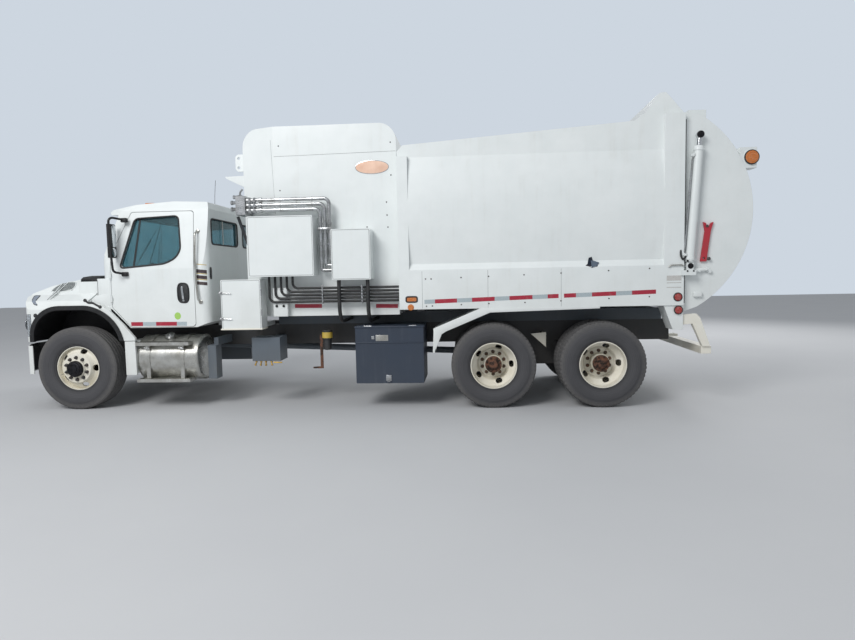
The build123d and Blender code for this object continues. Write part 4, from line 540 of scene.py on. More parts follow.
def add_bar(part, points, radius, steps=10, closed=False, flat=1.0):
    """A round or oval bar bent along points."""
    points = [Vector(p) * MM for p in points]
    count = len(points)
    rings = []
    normal = None
    for i, point in enumerate(points):
        before = points[i - 1] if i or closed else point
        after = points[(i + 1) % count] if i < count - 1 or closed else point
        along = (after - before).normalized()
        if normal is None:
            normal = Vector((0, 1, 0)) - along * along.y
            normal = normal.normalized() if normal.length > 0.1 else along.orthogonal().normalized()
        normal = (normal - along * normal.dot(along)).normalized()
        other = along.cross(normal)
        angles = [2 * math.pi * k / steps for k in range(steps)]
        spokes = [normal * math.cos(a) * flat + other * math.sin(a) for a in angles]
        rings.append([part.verts.new(point + spoke * radius * MM) for spoke in spokes])
    pairs = list(zip(rings, rings[1:]))
    if closed:
        pairs.append((rings[-1], rings[0]))
    else:
        part.faces.new(rings[0])
        part.faces.new(rings[-1])
    for low, high in pairs:
        for k in range(steps):
            m = (k + 1) % steps
            part.faces.new((low[k], low[m], high[m], high[k]))


def add_plate(part, outline, lift, edge=2.0):
    """A plate with rounded edges: an outline of points, thickened along a vector."""
    extra = bmesh.new()
    lift = Vector(lift) * MM
    base = extra.faces.new([extra.verts.new(Vector(p) * MM) for p in outline])
    top = bmesh.ops.extrude_face_region(extra, geom=[base])["geom"]
    moved = [g for g in top if isinstance(g, bmesh.types.BMVert)]
    bmesh.ops.translate(extra, vec=lift, verts=moved)
    rim = [e for e in extra.edges if abs((e.verts[0].co - e.verts[1].co).normalized().dot(lift.normalized())) < 0.5]
    if edge:
        bmesh.ops.bevel(extra, geom=rim, offset=edge * MM, segments=2, profile=0.5, affect="EDGES")
    merge(part, extra)


surface_trees = {}


def surface(node):
    """A CAD node's surface, for laying things on it."""
    if node not in surface_trees:
        mesh = nodes[node].data
        surface_trees[node] = BVHTree.FromPolygons(
            [v.co.copy() for v in mesh.vertices], [list(p.vertices) for p in mesh.polygons]
        )
    return surface_trees[node]


def drop(node, point, direction, lift=0.0):
    """Where a point moved along a direction meets a node, in mm, and the way out of the surface there."""
    place, normal, _, _ = surface(node).ray_cast(Vector(point) * MM, Vector(direction))
    if place is None:
        box_low, box_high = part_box(node)
        inside = [min(max(c * MM, box_low[i]), box_high[i]) for i, c in enumerate(point)]
        place, normal, _, _ = surface(node).find_nearest(Vector(inside))
    if normal.dot(Vector(direction)) > 0:
        normal = -normal
    return place / MM + normal * lift, normal


def add_laid(part, node, outline, direction, lift=1.0, spacing=40.0):
    """A thin sheet with the outline given, laid on a node along a direction."""
    extra = bmesh.new()
    extra.faces.new([extra.verts.new(Vector(p) * MM) for p in outline])
    for axis in range(3):
        values = [v.co[axis] for v in extra.verts]
        cut = min(values) + spacing * MM
        while max(values) - min(values) > 1 * MM and cut < max(values) - 1 * MM:
            plane = Vector([cut if i == axis else 0 for i in range(3)])
            normal = Vector([1 if i == axis else 0 for i in range(3)])
            bmesh.ops.bisect_plane(
                extra, geom=extra.verts[:] + extra.edges[:] + extra.faces[:], plane_co=plane, plane_no=normal
            )
            cut += spacing * MM
    for vert in extra.verts:
        vert.co = drop(node, vert.co / MM, direction, lift)[0] * MM
    merge(part, extra)


def band(x0, x1, z0, z1, height, y=0.0):
    """The outline of a strip seen from the side, sloping from one end to the other."""
    half = height / 2
    return ((x0, y, z0 - half), (x1, y, z1 - half), (x1, y, z1 + half), (x0, y, z0 + half))


def oval(centre, across, up, half_across, half_up, steps=28, power=2.6):
    """A rounded oval's points in the plane of two directions."""
    points = []
    for i in range(steps):
        a = 2 * math.pi * i / steps
        c, s = math.cos(a), math.sin(a)
        x = math.copysign(abs(c) ** (2 / power), c) * half_across
        z = math.copysign(abs(s) ** (2 / power), s) * half_up
        points.append(Vector(centre) + Vector(across) * x + Vector(up) * z)
    return points


def bent_hose(name, points, radius, finish, body):
    """A rubber hose held at both ends, along one smooth curve."""
    line = bpy.data.curves.new(name, "CURVE")
    line.dimensions = "3D"
    line.bevel_depth = radius * MM
    line.bevel_resolution = 3
    line.resolution_u = 10
    line.use_fill_caps = True
    spline = line.splines.new("NURBS")
    spline.points.add(len(points) - 1)
    for point, place in zip(spline.points, points):
        point.co = (*(Vector(place) * MM), 1.0)
    spline.order_u = 3
    spline.use_endpoint_u = True
    line.materials.append(finish)
    piece = bpy.data.objects.new(name, line)
    bpy.context.scene.collection.objects.link(piece)
    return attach(piece, body)


# Places well outside the truck, from where things are laid on it
OUTSIDE = 1400
FAR_FRONT, FAR_REAR = -5200, 6000
REARWARD, FORWARD, UPWARD = (1, 0, 0), (-1, 0, 0), (0, 0, 1)


def make(name, finish, body, *shapes, **how):
    """Makes a piece of shapes, each of them an add_ function and what it needs, to ride on a body."""
    part = new_part()
    for add, *sizes in shapes:
        add(part, *sizes)
    return finish_part(name, part, finish, body, **how)


def on_side(node, x, z, side, lift=0.0):
    """A point on a node's outer side, and the way out of it."""
    return drop(node, (x, side * OUTSIDE, z), (0, -side, 0), lift)


def on_front(node, y, z, lift=0.0):
    """A point on a node's front, and the way out of it."""
    return drop(node, (FAR_FRONT, y, z), REARWARD, lift)


def on_rear(node, y, z):
    """A point on a node's rear, and the way out of it."""
    return drop(node, (FAR_REAR, y, z), FORWARD)


def run_on_side(node, points, side, lift):
    """A run of points laid on a node's outer side."""
    return [on_side(node, x, z, side, lift)[0] for x, z in points]


def turned_corners(points, radius, steps):
    """A closed outline of two sizes a point, with its corners turned to curves."""
    return [(p.x, p.z) for p in rounded([(x, 0, z) for x, z in points], radius, steps, True)]


def oblong(x0, x1, z0, z1, y):
    """The outline of an oblong seen from the side."""
    return ((x0, y, z0), (x1, y, z0), (x1, y, z1), (x0, y, z1))


def across(side, inner, outer):
    """Two distances from the centreline, as lower and higher places on one side."""
    return sorted((side * inner, side * outer))


def round_axle(x, y, z, radius, turn):
    """A point on a circle about an axle."""
    return (x + radius * math.cos(turn), y, z + radius * math.sin(turn))


def evenly(count, start=0.5):
    """Turns spaced evenly about an axle."""
    return [2 * math.pi * (i + start) / count for i in range(count)]


# Tyres: ribbed on the steered axle, block tread on the driven axles
FRONT_X, FRONT_Y, FRONT_RADIUS, FRONT_WIDTH = -3795, 1044, 538, 312
REAR_AXLES = (("rear_1", 1566), ("rear_2", 2886))
TWIN_Y, REAR_RADIUS, REAR_WIDTH = (737.5, 1080.5), 525, 279
TYRE_STEPS, TREAD_COLUMNS, TREAD_HALF, TREAD_ANGLE = 252, 34, 0.385, 28
BEAD_RADIUS, TREAD_CROWN = 286.5, 7
# Height up the sidewall, and distance from the tyre's middle, as shares of its height and width
SIDEWALL = (
    (0.0, 0.36), (0.03, 0.395), (0.07, 0.40), (0.09, 0.415), (0.2, 0.452), (0.3, 0.478), (0.34, 0.486),
    (0.36, 0.4925), (0.40, 0.4985), (0.5, 0.5), (0.6, 0.497), (0.66, 0.488), (0.68, 0.476), (0.78, 0.462),
    (0.86, 0.45), (0.9, 0.444), (0.925, 0.437), (0.95, 0.428), (0.975, 0.414), (0.992, 0.398),
)


def rib_depth(place, angle):
    """Depth in mm of a steer tyre's four wavy grooves and its fine shoulder cuts."""
    wave = math.sin(angle * 42) * 0.009
    for groove in (-0.27, -0.095, 0.095, 0.27):
        if abs(place - groove - wave) < 0.018:
            return 13.0
    if abs(place) > 0.34 and math.sin(angle * 126) > 0.55:
        return 4.0
    return 0.0


def block_depth(place, angle):
    """Depth in mm of a drive tyre's grooves and of the gaps between its blocks."""
    if abs(abs(place) - 0.19) < 0.02 or abs(place) < 0.016:
        return 16.0
    lean = place * 1.2
    if abs(place) > 0.19:
        return 14.0 if math.sin((angle + lean * 0.1) * 63) > 0.72 else 0.0
    return 12.0 if math.sin((angle - lean * 0.1) * 63 + 1.5) > 0.8 else 0.0


def add_tyre(part, middle_y, radius, width, depth_at):
    """One tyre about its own axle: shaped sidewalls with raised rings, and a tread cut by depth_at."""
    half = [(BEAD_RADIUS + (radius - 5 - BEAD_RADIUS) * t, w) for t, w in SIDEWALL]
    tread = [TREAD_HALF - 2 * TREAD_HALF * i / TREAD_COLUMNS for i in range(TREAD_COLUMNS + 1)]
    columns = [(r, w, False) for r, w in half]
    columns += [(radius - TREAD_CROWN * (w / TREAD_HALF) ** 2, w, True) for w in tread]
    columns += [(r, -w, False) for r, w in reversed(half)]
    rings = []
    for i in range(TYRE_STEPS):
        angle = 2 * math.pi * i / TYRE_STEPS
        ring = []
        for r, w, on_tread in columns:
            if on_tread:
                r -= depth_at(w, angle)
            elif abs(w) < 0.448 and r > radius * 0.9:
                r -= depth_at(math.copysign(0.36, w), angle) * 0.7
            place = (r * math.cos(angle), middle_y + w * width, r * math.sin(angle))
            ring.append(part.verts.new(Vector(place) * MM))
        rings.append(ring)
    for ring, following in zip(rings, rings[1:] + rings[:1]):
        for k in range(len(columns) - 1):
            part.faces.new((ring[k], ring[k + 1], following[k + 1], following[k]))


for side, hand in SIDES:
    tyre = make(
        f"ribbed_tyre_{hand}", tyre_rubber, f"wheel_front_{hand}",
        (add_tyre, side * FRONT_Y, FRONT_RADIUS, FRONT_WIDTH, rib_depth),
        angle=TREAD_ANGLE, place=(FRONT_X, 0, FRONT_RADIUS),
    )
    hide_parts(f"tyre_front_{hand}")
    for name, axle_x in REAR_AXLES:
        tyre = make(
            f"block_tyres_{name}_{hand}", tyre_rubber, f"wheel_{name}_{hand}",
            *[(add_tyre, side * y, REAR_RADIUS, REAR_WIDTH, block_depth) for y in TWIN_Y],
            angle=TREAD_ANGLE, place=(axle_x, 0, REAR_RADIUS),
        )
        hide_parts(f"tyre_{name}_{hand}")

# Wheel nuts, valves, the front hub caps and the driven wheels' flanges
NUT_CIRCLE, NUT_COUNT, VALVE_CIRCLE, VALVE_TURN = 143, 10, 205, math.radians(200)
VALVE = ((0, 5), (24, 4), (25, 5), (34, 5), (36, 4), (36, 0))
# The front wheel nuts take the dark bolt steel: painted shade for the shadows round the cream nuts
WHEELS = (("front", FRONT_X, FRONT_RADIUS, 1181, dark_bolt_steel_and_nut_shade),) + tuple(
    (name, axle_x, REAR_RADIUS, 921, rusted_nut_steel) for name, axle_x in REAR_AXLES
)
CAP_Y, CAP_HEIGHT, CAP_CIRCLE = 1183, 73, 62
HUB_CAP = (
    (0, 110), (6, 110), (10, 107), (24, 105), (52, 102), (58, 96), (60, 84), (69, 82), (72, 76), (73, 48),
    (79, 46), (81, 40), (82, 0),
)
FLANGE_Y, FLANGE_STEP, FLANGE_CIRCLE = 1062, 24, 86
DRIVE_FLANGE = ((0, 104), (20, 104), (24, 100), (25, 70), (34, 56), (52, 50), (58, 44), (60, 0))
for side, hand in SIDES:
    out = (0, side, 0)
    for name, x, z, face_y, finish in WHEELS:
        places = [round_axle(x, side * face_y, z, NUT_CIRCLE, turn) for turn in evenly(NUT_COUNT)]
        make(
            f"wheel_nuts_{name}_{hand}", finish, f"wheel_{name}_{hand}",
            *[(add_nut, place, out, 33, 24, 14) for place in places],
        )
        valve = round_axle(x, side * (face_y - 8), z, VALVE_CIRCLE, VALVE_TURN)
        make(f"valve_{name}_{hand}", zinc_pipe, f"wheel_{name}_{hand}", (add_turned, valve, out, VALVE, 12))
    places = [
        round_axle(FRONT_X, side * (CAP_Y + CAP_HEIGHT), FRONT_RADIUS, CAP_CIRCLE, turn) for turn in evenly(6, 0)
    ]
    make(
        f"hub_cap_front_{hand}", oily_iron, f"wheel_front_{hand}",
        (add_turned, (FRONT_X, side * CAP_Y, FRONT_RADIUS), out, HUB_CAP, 48),
        *[(add_nut, place, out, 15, 8) for place in places],
    )
    for name, x in REAR_AXLES:
        places = [
            round_axle(x, side * (FLANGE_Y + FLANGE_STEP), REAR_RADIUS, FLANGE_CIRCLE, turn) for turn in evenly(8)
        ]
        make(
            f"drive_flange_{name}_{hand}", rusted_iron, f"wheel_{name}_{hand}",
            (add_turned, (x, side * FLANGE_Y, REAR_RADIUS), out, DRIVE_FLANGE, 48),
            *[(add_nut, place, out, 24, 16, 8) for place in places],
        )

# Brake drums on the inner side of the driven wheels
DRUM_Y = 560
BRAKE_DRUM = ((0, 60), (0, 196), (12, 208), (40, 208), (44, 202), (150, 202), (150, 60))
for side, hand in SIDES:
    for name, x in REAR_AXLES:
        make(
            f"brake_drum_{name}_{hand}", rusted_iron, f"wheel_{name}_{hand}",
            (add_turned, (x, side * DRUM_Y, REAR_RADIUS), (0, side, 0), BRAKE_DRUM, 48),
        )

# Reflective tape: red and silver strips along the body, the door and the hopper
TAPE_WIDTH, TAPE_LIFT = 50, 0.8
BODY_TAPE = (
    (729, 1326, "silver"), (858, 1330, "red"), (1127, 1337, "silver"), (1310, 1342, "red"), (1584, 1350, "silver"),
    (1763, 1355, "red"), (2039, 1363, "silver"), (2221, 1368, "red"), (2351, 1371, ""), (2415, 1373, "red"),
    (2558, 1377, "silver"), (2747, 1382, "red"), (3030, 1390, "silver"), (3217, 1395, "red"), (3497, 1403, ""),
)
DOOR_TAPE = (
    (-3062, 1100, "red"), (-2906, 1099, "silver"), (-2731, 1098, "red"), (-2456, 1096, "silver"), (-2324, 1095, ""),
)
HOPPER_TAPE = ((-941, 1293, "red"), (-592, 1288, ""), (100, 1278, "red"), (380, 1272, ""))
TAPE_FINISH = {"red": red_sheeting, "silver": silver_sheeting}
for side, hand in SIDES:
    for name, node, body, edges in (
        ("body_tape", "body_shell", "truck", BODY_TAPE),
        ("door_tape", f"door_{hand}", f"door_{hand}", DOOR_TAPE),
        ("hopper_tape", "hopper", "truck", HOPPER_TAPE),
    ):
        for colour, finish in TAPE_FINISH.items():
            strips = [
                (add_laid, node, band(x0, x1, z0, z1, TAPE_WIDTH, side * OUTSIDE), (0, -side, 0), TAPE_LIFT)
                for (x0, z0, kind), (x1, z1, _) in zip(edges, edges[1:]) if kind == colour
            ]
            if strips:
                make(f"{name}_{colour}_{hand}", finish, body, *strips)

# Tape across the tailgate's lower edge
GATE_TAPE_Y, GATE_TAPE_STEP, GATE_TAPE_LENGTH, GATE_TAPE_Z = -900, 310, 270, (1440, 1490)
for colour, first in (("red", 0), ("silver", 1)):
    strips = []
    for i in range(first, 6, 2):
        y0 = GATE_TAPE_Y + GATE_TAPE_STEP * i
        y1 = y0 + GATE_TAPE_LENGTH
        low, high = GATE_TAPE_Z
        outline = ((FAR_REAR, y0, low), (FAR_REAR, y1, low), (FAR_REAR, y1, high), (FAR_REAR, y0, high))
        strips.append((add_laid, "tailgate", outline, FORWARD, TAPE_LIFT))
    make(f"gate_tape_{colour}", TAPE_FINISH[colour], "tailgate", *strips)

# Round-headed bolts along the body's skirt and on the hopper
SKIRT_BOLTS = (
    (1514, 1623), (1940, 1634), (2381, 1646), (2942, 1664), (1515, 1294), (1949, 1299), (2379, 1312), (2947, 1331),
    (747, 1606), (815, 1605), (753, 1272), (825, 1275), (3420, 1680), (3420, 1345), (1180, 1616), (1180, 1286),
)
HOPPER_BOLTS = (
    (266, 2570), (269, 2410), (277, 2261), (13, 2268), (-1080, 3300), (-1080, 2750), (330, 3300), (330, 2900),
)
BOLT_RADIUS, BOLT_HEIGHT = 9, 5
for side, hand in SIDES:
    for name, node, places in (
        ("skirt_bolts", "body_shell", SKIRT_BOLTS), ("hopper_bolts", "hopper", HOPPER_BOLTS),
    ):
        make(
            f"{name}_{hand}", dark_bolt_steel_and_nut_shade, "truck",
            *[(add_dome, *on_side(node, x, z, side), BOLT_RADIUS, BOLT_HEIGHT) for x, z in places],
        )

# Seams and panel joints, laid as thin beads of sealant
SKIRT_SEAMS, SKIRT_Z, SEAM_HALF, SEAM_LIFT = (705, 2383, 1505), (1245, 1700), 2, 0.6
HOPPER_SEAM = ((-1145, 3172), (-1000, 3173), (200, 3189), (392, 3192))
HOPPER_SEAM_HEIGHT = 5
for side, hand in SIDES:
    inward, y = (0, -side, 0), side * OUTSIDE
    make(
        f"skirt_joints_{hand}", seam_sealant, "truck",
        *[
            (add_laid, "body_shell", oblong(x - SEAM_HALF, x + SEAM_HALF, *SKIRT_Z, y), inward, SEAM_LIFT)
            for x in SKIRT_SEAMS
        ],
    )
    make(
        f"hopper_joints_{hand}", seam_sealant, "truck",
        *[
            (add_laid, "hopper", band(x0, x1, z0, z1, HOPPER_SEAM_HEIGHT, y), inward, SEAM_LIFT)
            for (x0, z0), (x1, z1) in zip(HOPPER_SEAM, HOPPER_SEAM[1:])
        ],
        (
            add_laid, "hopper", ((-1186, y, 3378), (-1182, y, 3378), (-1146, y, 2460), (-1150, y, 2460)),
            inward, SEAM_LIFT,
        ),
    )

# A blank oval badge of brushed copper in a bright rim, on the hopper's left
badge_ring = oval((96, -1031, 3003), REARWARD, UPWARD, 205, 78, 40, 2.1)
make("badge_rim", hard_chrome, "truck", (add_bar, badge_ring, 7, 8, True, 0.6))
make("badge_plate", brushed_copper, "truck", (add_plate, badge_ring, (0, -4, 0), 0))

# Rims and lenses of the lamps on the body's side, its rear pillar and the tailgate
PILLAR_LAMPS = ((3752, 1335), (3760, 1180))
GATE_LAMP = (4603, 2958)
for side, hand in SIDES:
    out = (0, side, 0)
    ring = oval((572, side * 1217, 1359), REARWARD, UPWARD, 68, 33, 32, 5.0)
    make(f"oblong_lamp_rim_{hand}", hose_rubber, "truck", (add_bar, ring, 9, 8, True, 0.7))
    make(
        f"round_reflector_{hand}", amber_polycarbonate, "truck",
        (add_turned, (560, side * 1215, 1262), out, ((0, 38), (5, 38), (8, 34), (8, 0)), 32),
    )
    for name, y, finish, profile in (
        ("rims", 1214, hose_rubber, ((0, 54), (4, 54), (9, 50), (9, 43))),
        ("lenses", 1216, red_polycarbonate, ((0, 44), (4, 43), (9, 30), (11, 12), (11, 0))),
    ):
        make(
            f"pillar_lamp_{name}_{hand}", finish, "truck",
            *[(add_turned, (x, side * y, z), out, profile, 40) for x, z in PILLAR_LAMPS],
        )
    x, z = GATE_LAMP
    make(
        f"gate_lamp_rim_{hand}", hose_rubber, "tailgate",
        (add_turned, (x, side * 1136, z), out, ((0, 87), (8, 87), (15, 84), (17, 76)), 48),
    )
    lens = (x, side * 1149, z)
    make(
        f"gate_lamp_lens_{hand}", amber_polycarbonate, "tailgate",
        (add_turned, lens, out, ((0, 76), (6, 72), (9, 50), (10, 20), (10, 0)), 48),
        *[(add_turned, lens, out, ((8, r - 3), (12, r), (8, r + 3)), 48) for r in (30, 55)],
    )

# Hood: side vents with slats, cheeks, intake covers, quarter panels, latches, signal lamps and plugs
VENT = (
    (-4270, 1530), (-4252, 1584), (-4194, 1634), (-4090, 1655), (-4014, 1652), (-3970, 1595), (-3985, 1550),
    (-4110, 1524),
)
SLAT_HEIGHTS = (1546, 1564, 1582, 1600, 1618, 1636)
CHEEK = ((946, 1496), (940, 1655), (700, 1668), (700, 1600), (830, 1560))
INTAKE_COVER = ((936, 1652), (928, 1690), (880, 1716), (700, 1733), (660, 1733), (660, 1690), (700, 1656))
QUARTER = (
    (-3573, 985), (-3535, 1052), (-3485, 1102), (-3425, 1122), (-3323, 1128),
    (-3323, 1114), (-3425, 1108), (-3478, 1090), (-3523, 1044), (-3559, 985),
)
LOW_QUARTER = (
    (-3573, 1394), (-3573, 1424), (-3520, 1474), (-3323, 1500), (-3323, 1075), (-3390, 1180), (-3480, 1300),
)
COWL_END = (
    (1116, 1330), (1118, 1404), (1036, 1444), (945, 1490), (876, 1536), (836, 1588), (700, 1588), (700, 1330),
)
STRAP = ((-3655, 1408), (-3600, 1398), (-3540, 1378), (-3480, 1350), (-3430, 1326))
STRAP_BUTTON = ((0, 20), (14, 20), (19, 15), (20, 0))
SIGNAL = ((-4455, 1482), (-4372, 1484), (-4352, 1440), (-4284, 1360), (-4330, 1372), (-4410, 1436))
PLUG_PLACE = (-4300, 1232)


def slats(side):
    """The vent's slats, each as far as the vent's slanting ends let it reach."""
    for z in SLAT_HEIGHTS:
        ends = [x for x in range(-4262, -3970, 14) if z < 1545 + (x + 4270) * 1.2 and z < 1652 - (x + 4014) * 1.1]
        if len(ends) > 2:
            yield (add_bar, run_on_side("hood", [(x, z) for x in ends], side, 2.5), 3.2, 6)


for side, hand in SIDES:
    out, inward = (0, side, 0), (0, -side, 0)
    make(
        f"vent_mesh_{hand}", vent_mesh, "hood",
        (add_laid, "hood", [(x, side * OUTSIDE, z) for x, z in VENT], inward, 1.2, 25),
    )
    rim = run_on_side("hood", turned_corners(VENT, 30, 5), side, 3)
    make(f"vent_rim_{hand}", white_enamel, "hood", (add_bar, rim, 6, 8, True))
    make(f"vent_slats_{hand}", grey_abs, "hood", *slats(side))
    make(
        f"hood_cheek_{hand}", white_enamel, "hood",
        (add_plate, [(-3860, side * y, z) for y, z in CHEEK], (272, 0, 0), 5),
    )
    low_y, high_y = across(side, 700, 939)
    make(
        f"intake_cover_{hand}", black_polypropylene, "hood",
        (add_plate, [(-3838, side * y, z) for y, z in INTAKE_COVER], (252, 0, 0), 7),
        *[(add_block, (x, low_y, 1664), (x + 8, high_y, 1684), 2) for x in range(-3820, -3600, 22)],
    )
    # The cab's quarter panel and the end of its cowl, which close the gap behind the hood
    make(
        f"cab_quarter_{hand}", white_enamel, "truck",
        (add_plate, [(x, side * y, 1340) for x, y in QUARTER], (0, 0, 350), 2),
        (add_plate, [(x, side * 1126, z) for x, z in LOW_QUARTER], (0, -side * 10, 0), 2),
        (add_plate, [(-3608, side * y, z) for y, z in COWL_END], (8, 0, 0), 1),
    )
    seal = [(-3522, side * 1062, z) for z in (1392, 1480, 1580, 1668)]
    make(f"cowl_seal_{hand}", hose_rubber, "truck", (add_bar, seal, 5, 8))
    # The latch: a rubber draw strap between two buttons
    strap = run_on_side("hood", STRAP, side, 9)
    ends = [point + Vector((0, side * -8, 0)) for point in (strap[0], strap[-1])]
    make(
        f"hood_strap_{hand}", hose_rubber, "hood",
        (add_bar, strap, 13, 10, False, 0.5),
        *[(add_turned, end, (0, side, 0.2), STRAP_BUTTON, 20) for end in ends],
    )
    corners = rounded([(x, side * OUTSIDE, z) for x, z in SIGNAL], 14, 4, True)
    rim = [drop("hood", corner, inward, 2)[0] for corner in corners]
    make(f"signal_rim_{hand}", black_polypropylene, "hood", (add_bar, rim, 4, 8, True))
    make(f"signal_lens_{hand}", signal_polycarbonate, "hood", (add_laid, "hood", corners, inward, 3, 25))
    plug = on_side("hood", *PLUG_PLACE, side)
    make(f"hood_plug_{hand}", hose_rubber, "hood", (add_turned, *plug, ((0, 26), (8, 25), (14, 18), (15, 0)), 24))

# Head lamps: two chromed bowls with their glasses, in a dark surround
LAMP_CORNERS = ((636, 955), (1040, 955), (1130, 975), (1130, 1235), (1040, 1255), (636, 1255))
LAMP_BOWL = ((0, 100), (5, 98), (7, 92), (3, 88), (1, 55.2), (4, 27.6), (5, 0))
LAMP_GLASS = ((0, 88), (4, 84), (9, 46), (10, 0))
LAMP_HEIGHT = 1105
for side, hand in SIDES:
    corners = turned_corners([(side * y, z) for y, z in LAMP_CORNERS], 30, 5)
    rim = [on_front("headlamps", y * 0.995, z, 1)[0] for y, z in corners]
    make(f"head_lamp_rim_{hand}", black_polypropylene, "hood", (add_bar, rim, 7, 8, True))
    for tag, y in (("inner", 760), ("outer", 960)):
        place, _ = on_front("headlamps", side * y, LAMP_HEIGHT)
        make(
            f"lamp_bowl_{tag}_{hand}", hard_chrome, "hood",
            (add_turned, place + Vector((2, 0, 0)), FORWARD, LAMP_BOWL, 48),
        )
        make(
            f"lamp_glass_{tag}_{hand}", clear_polycarbonate, "hood",
            (add_turned, place + Vector((-3, 0, 0)), FORWARD, LAMP_GLASS, 48),
        )

# Grille: the upright bars behind it
make(
    "grille_bars", black_polypropylene, "hood",
    *[(add_block, (-4616, y - 5, 945), (-4606, y + 5, 1318), 2) for y in range(-480, 481, 160)],
)

# Bumper: its black lining on the inner face, which also paints the shade there, a bright strip on its face, and bolts
LINING_AND_SHADE = ((460, 480), (1128, 480), (1128, 850), (460, 850))
STRIP_Y, STRIP_Z = (700, 860, 960, 1040, 1100), 828
BUMPER_BOLTS = ((940, 540), (940, 760))
for side, hand in SIDES:
    # The black sheet on the bumper's inner face is black rubber there and also painted shade
    make(
        f"bumper_lining_and_shade_{hand}", black_polypropylene, "truck",
        (add_laid, "front_bumper", [(-4250, side * y, z) for y, z in LINING_AND_SHADE], FORWARD, 3, 60),
    )
    strip = [on_front("front_bumper", side * y, STRIP_Z, -3)[0] for y in STRIP_Y]
    make(f"bumper_strip_{hand}", brushed_aluminium, "truck", (add_bar, strip, 6, 8))
    make(
        f"bumper_bolts_{hand}", zinc_pipe, "truck",
        *[(add_nut, *on_front("front_bumper", side * y, z), 24, 12) for y, z in BUMPER_BOLTS],
    )

# Door windows: rubber seals, and the bar that divides off the vent pane
DOOR_WINDOW = ((-3175, 1818), (-2985, 2445), (-2415, 2470), (-2378, 2040), (-2440, 1935), (-2580, 1866))
WINDOW_MIDDLE, SEAL_REACH = (-2760, 2130), 12
for side, hand in SIDES:
    seal = []
    for x, z in turned_corners(DOOR_WINDOW, 60, 6):
        away = Vector((x - WINDOW_MIDDLE[0], 0, z - WINDOW_MIDDLE[1])).normalized() * SEAL_REACH
        place, _ = on_side("door_" + hand, x + away.x, z + away.z, side, 1)
        seal.append(Vector((x + away.x * 0.2, place.y, z + away.z * 0.2)))
    make(f"door_seal_{hand}", hose_rubber, f"door_{hand}", (add_bar, seal, 11, 8, True))
    low, _ = on_side("door_glass_" + hand, -3000, 1835, side, 2)
    high, _ = on_side("door_glass_" + hand, -2925, 2440, side, 2)
    make(
        f"window_divider_{hand}", black_polypropylene, f"door_{hand}",
        (add_bar, (low, (low + high) / 2, high), 13, 8, False, 0.5),
    )

# Windscreen: its seal, its centre bar and the wipers; and the rear windows' seals and dividers
SCREEN = ((-960, 1812), (960, 1812), (905, 2478), (-905, 2478))
screen = [on_front("cab_glass", y * 0.985, z * 0.998 + 4, 2)[0] for y, z in turned_corners(SCREEN, 90, 6)]
make("screen_seal", hose_rubber, "truck", (add_bar, screen, 12, 8, True))
centre_bar = [on_front("cab_glass", 0, z, 2)[0] for z in range(1815, 2480, 60)]
make("screen_centre_bar", hose_rubber, "truck", (add_bar, centre_bar, 9, 8, False, 0.6))
for side, hand in SIDES:
    root, _ = on_front("cab_glass", side * 330, 1815, 14)
    tip, _ = on_front("cab_glass", side * 120, 2230, 16)
    arm = (root + Vector((0, 0, -30)), root, (root + tip) / 2 + Vector((-8, 0, 0)), tip)
    make(
        f"wiper_arm_{hand}", black_polypropylene, "truck",
        (add_bar, arm, 6, 8),
        (add_turned, root + Vector((8, 0, -34)), (-1, 0, 0.4), ((0, 16), (18, 16), (22, 12), (22, 0)), 18),
    )
    low, _ = on_front("cab_glass", side * 300, 1960, 6)
    high, _ = on_front("cab_glass", side * 60, 2400, 6)
    blade = (low, (low + high) / 2 + Vector((-3, 0, 0)), high)
    make(f"wiper_blade_{hand}", hose_rubber, "truck", (add_bar, blade, 5, 6))
for side, hand in SIDES:
    corners = turned_corners([(side * y, z) for y, z in ((98, 2106), (977, 2106), (977, 2432), (98, 2432))], 70, 6)
    window = [(-2018, y, z) for y, z in corners]
    make(f"rear_window_seal_{hand}", hose_rubber, "truck", (add_bar, window, 10, 8, True))
    divider = ((-2022, side * 600, 2112), (-2022, side * 600, 2426))
    make(f"rear_window_divider_{hand}", brushed_aluminium, "truck", (add_bar, divider, 8, 8))

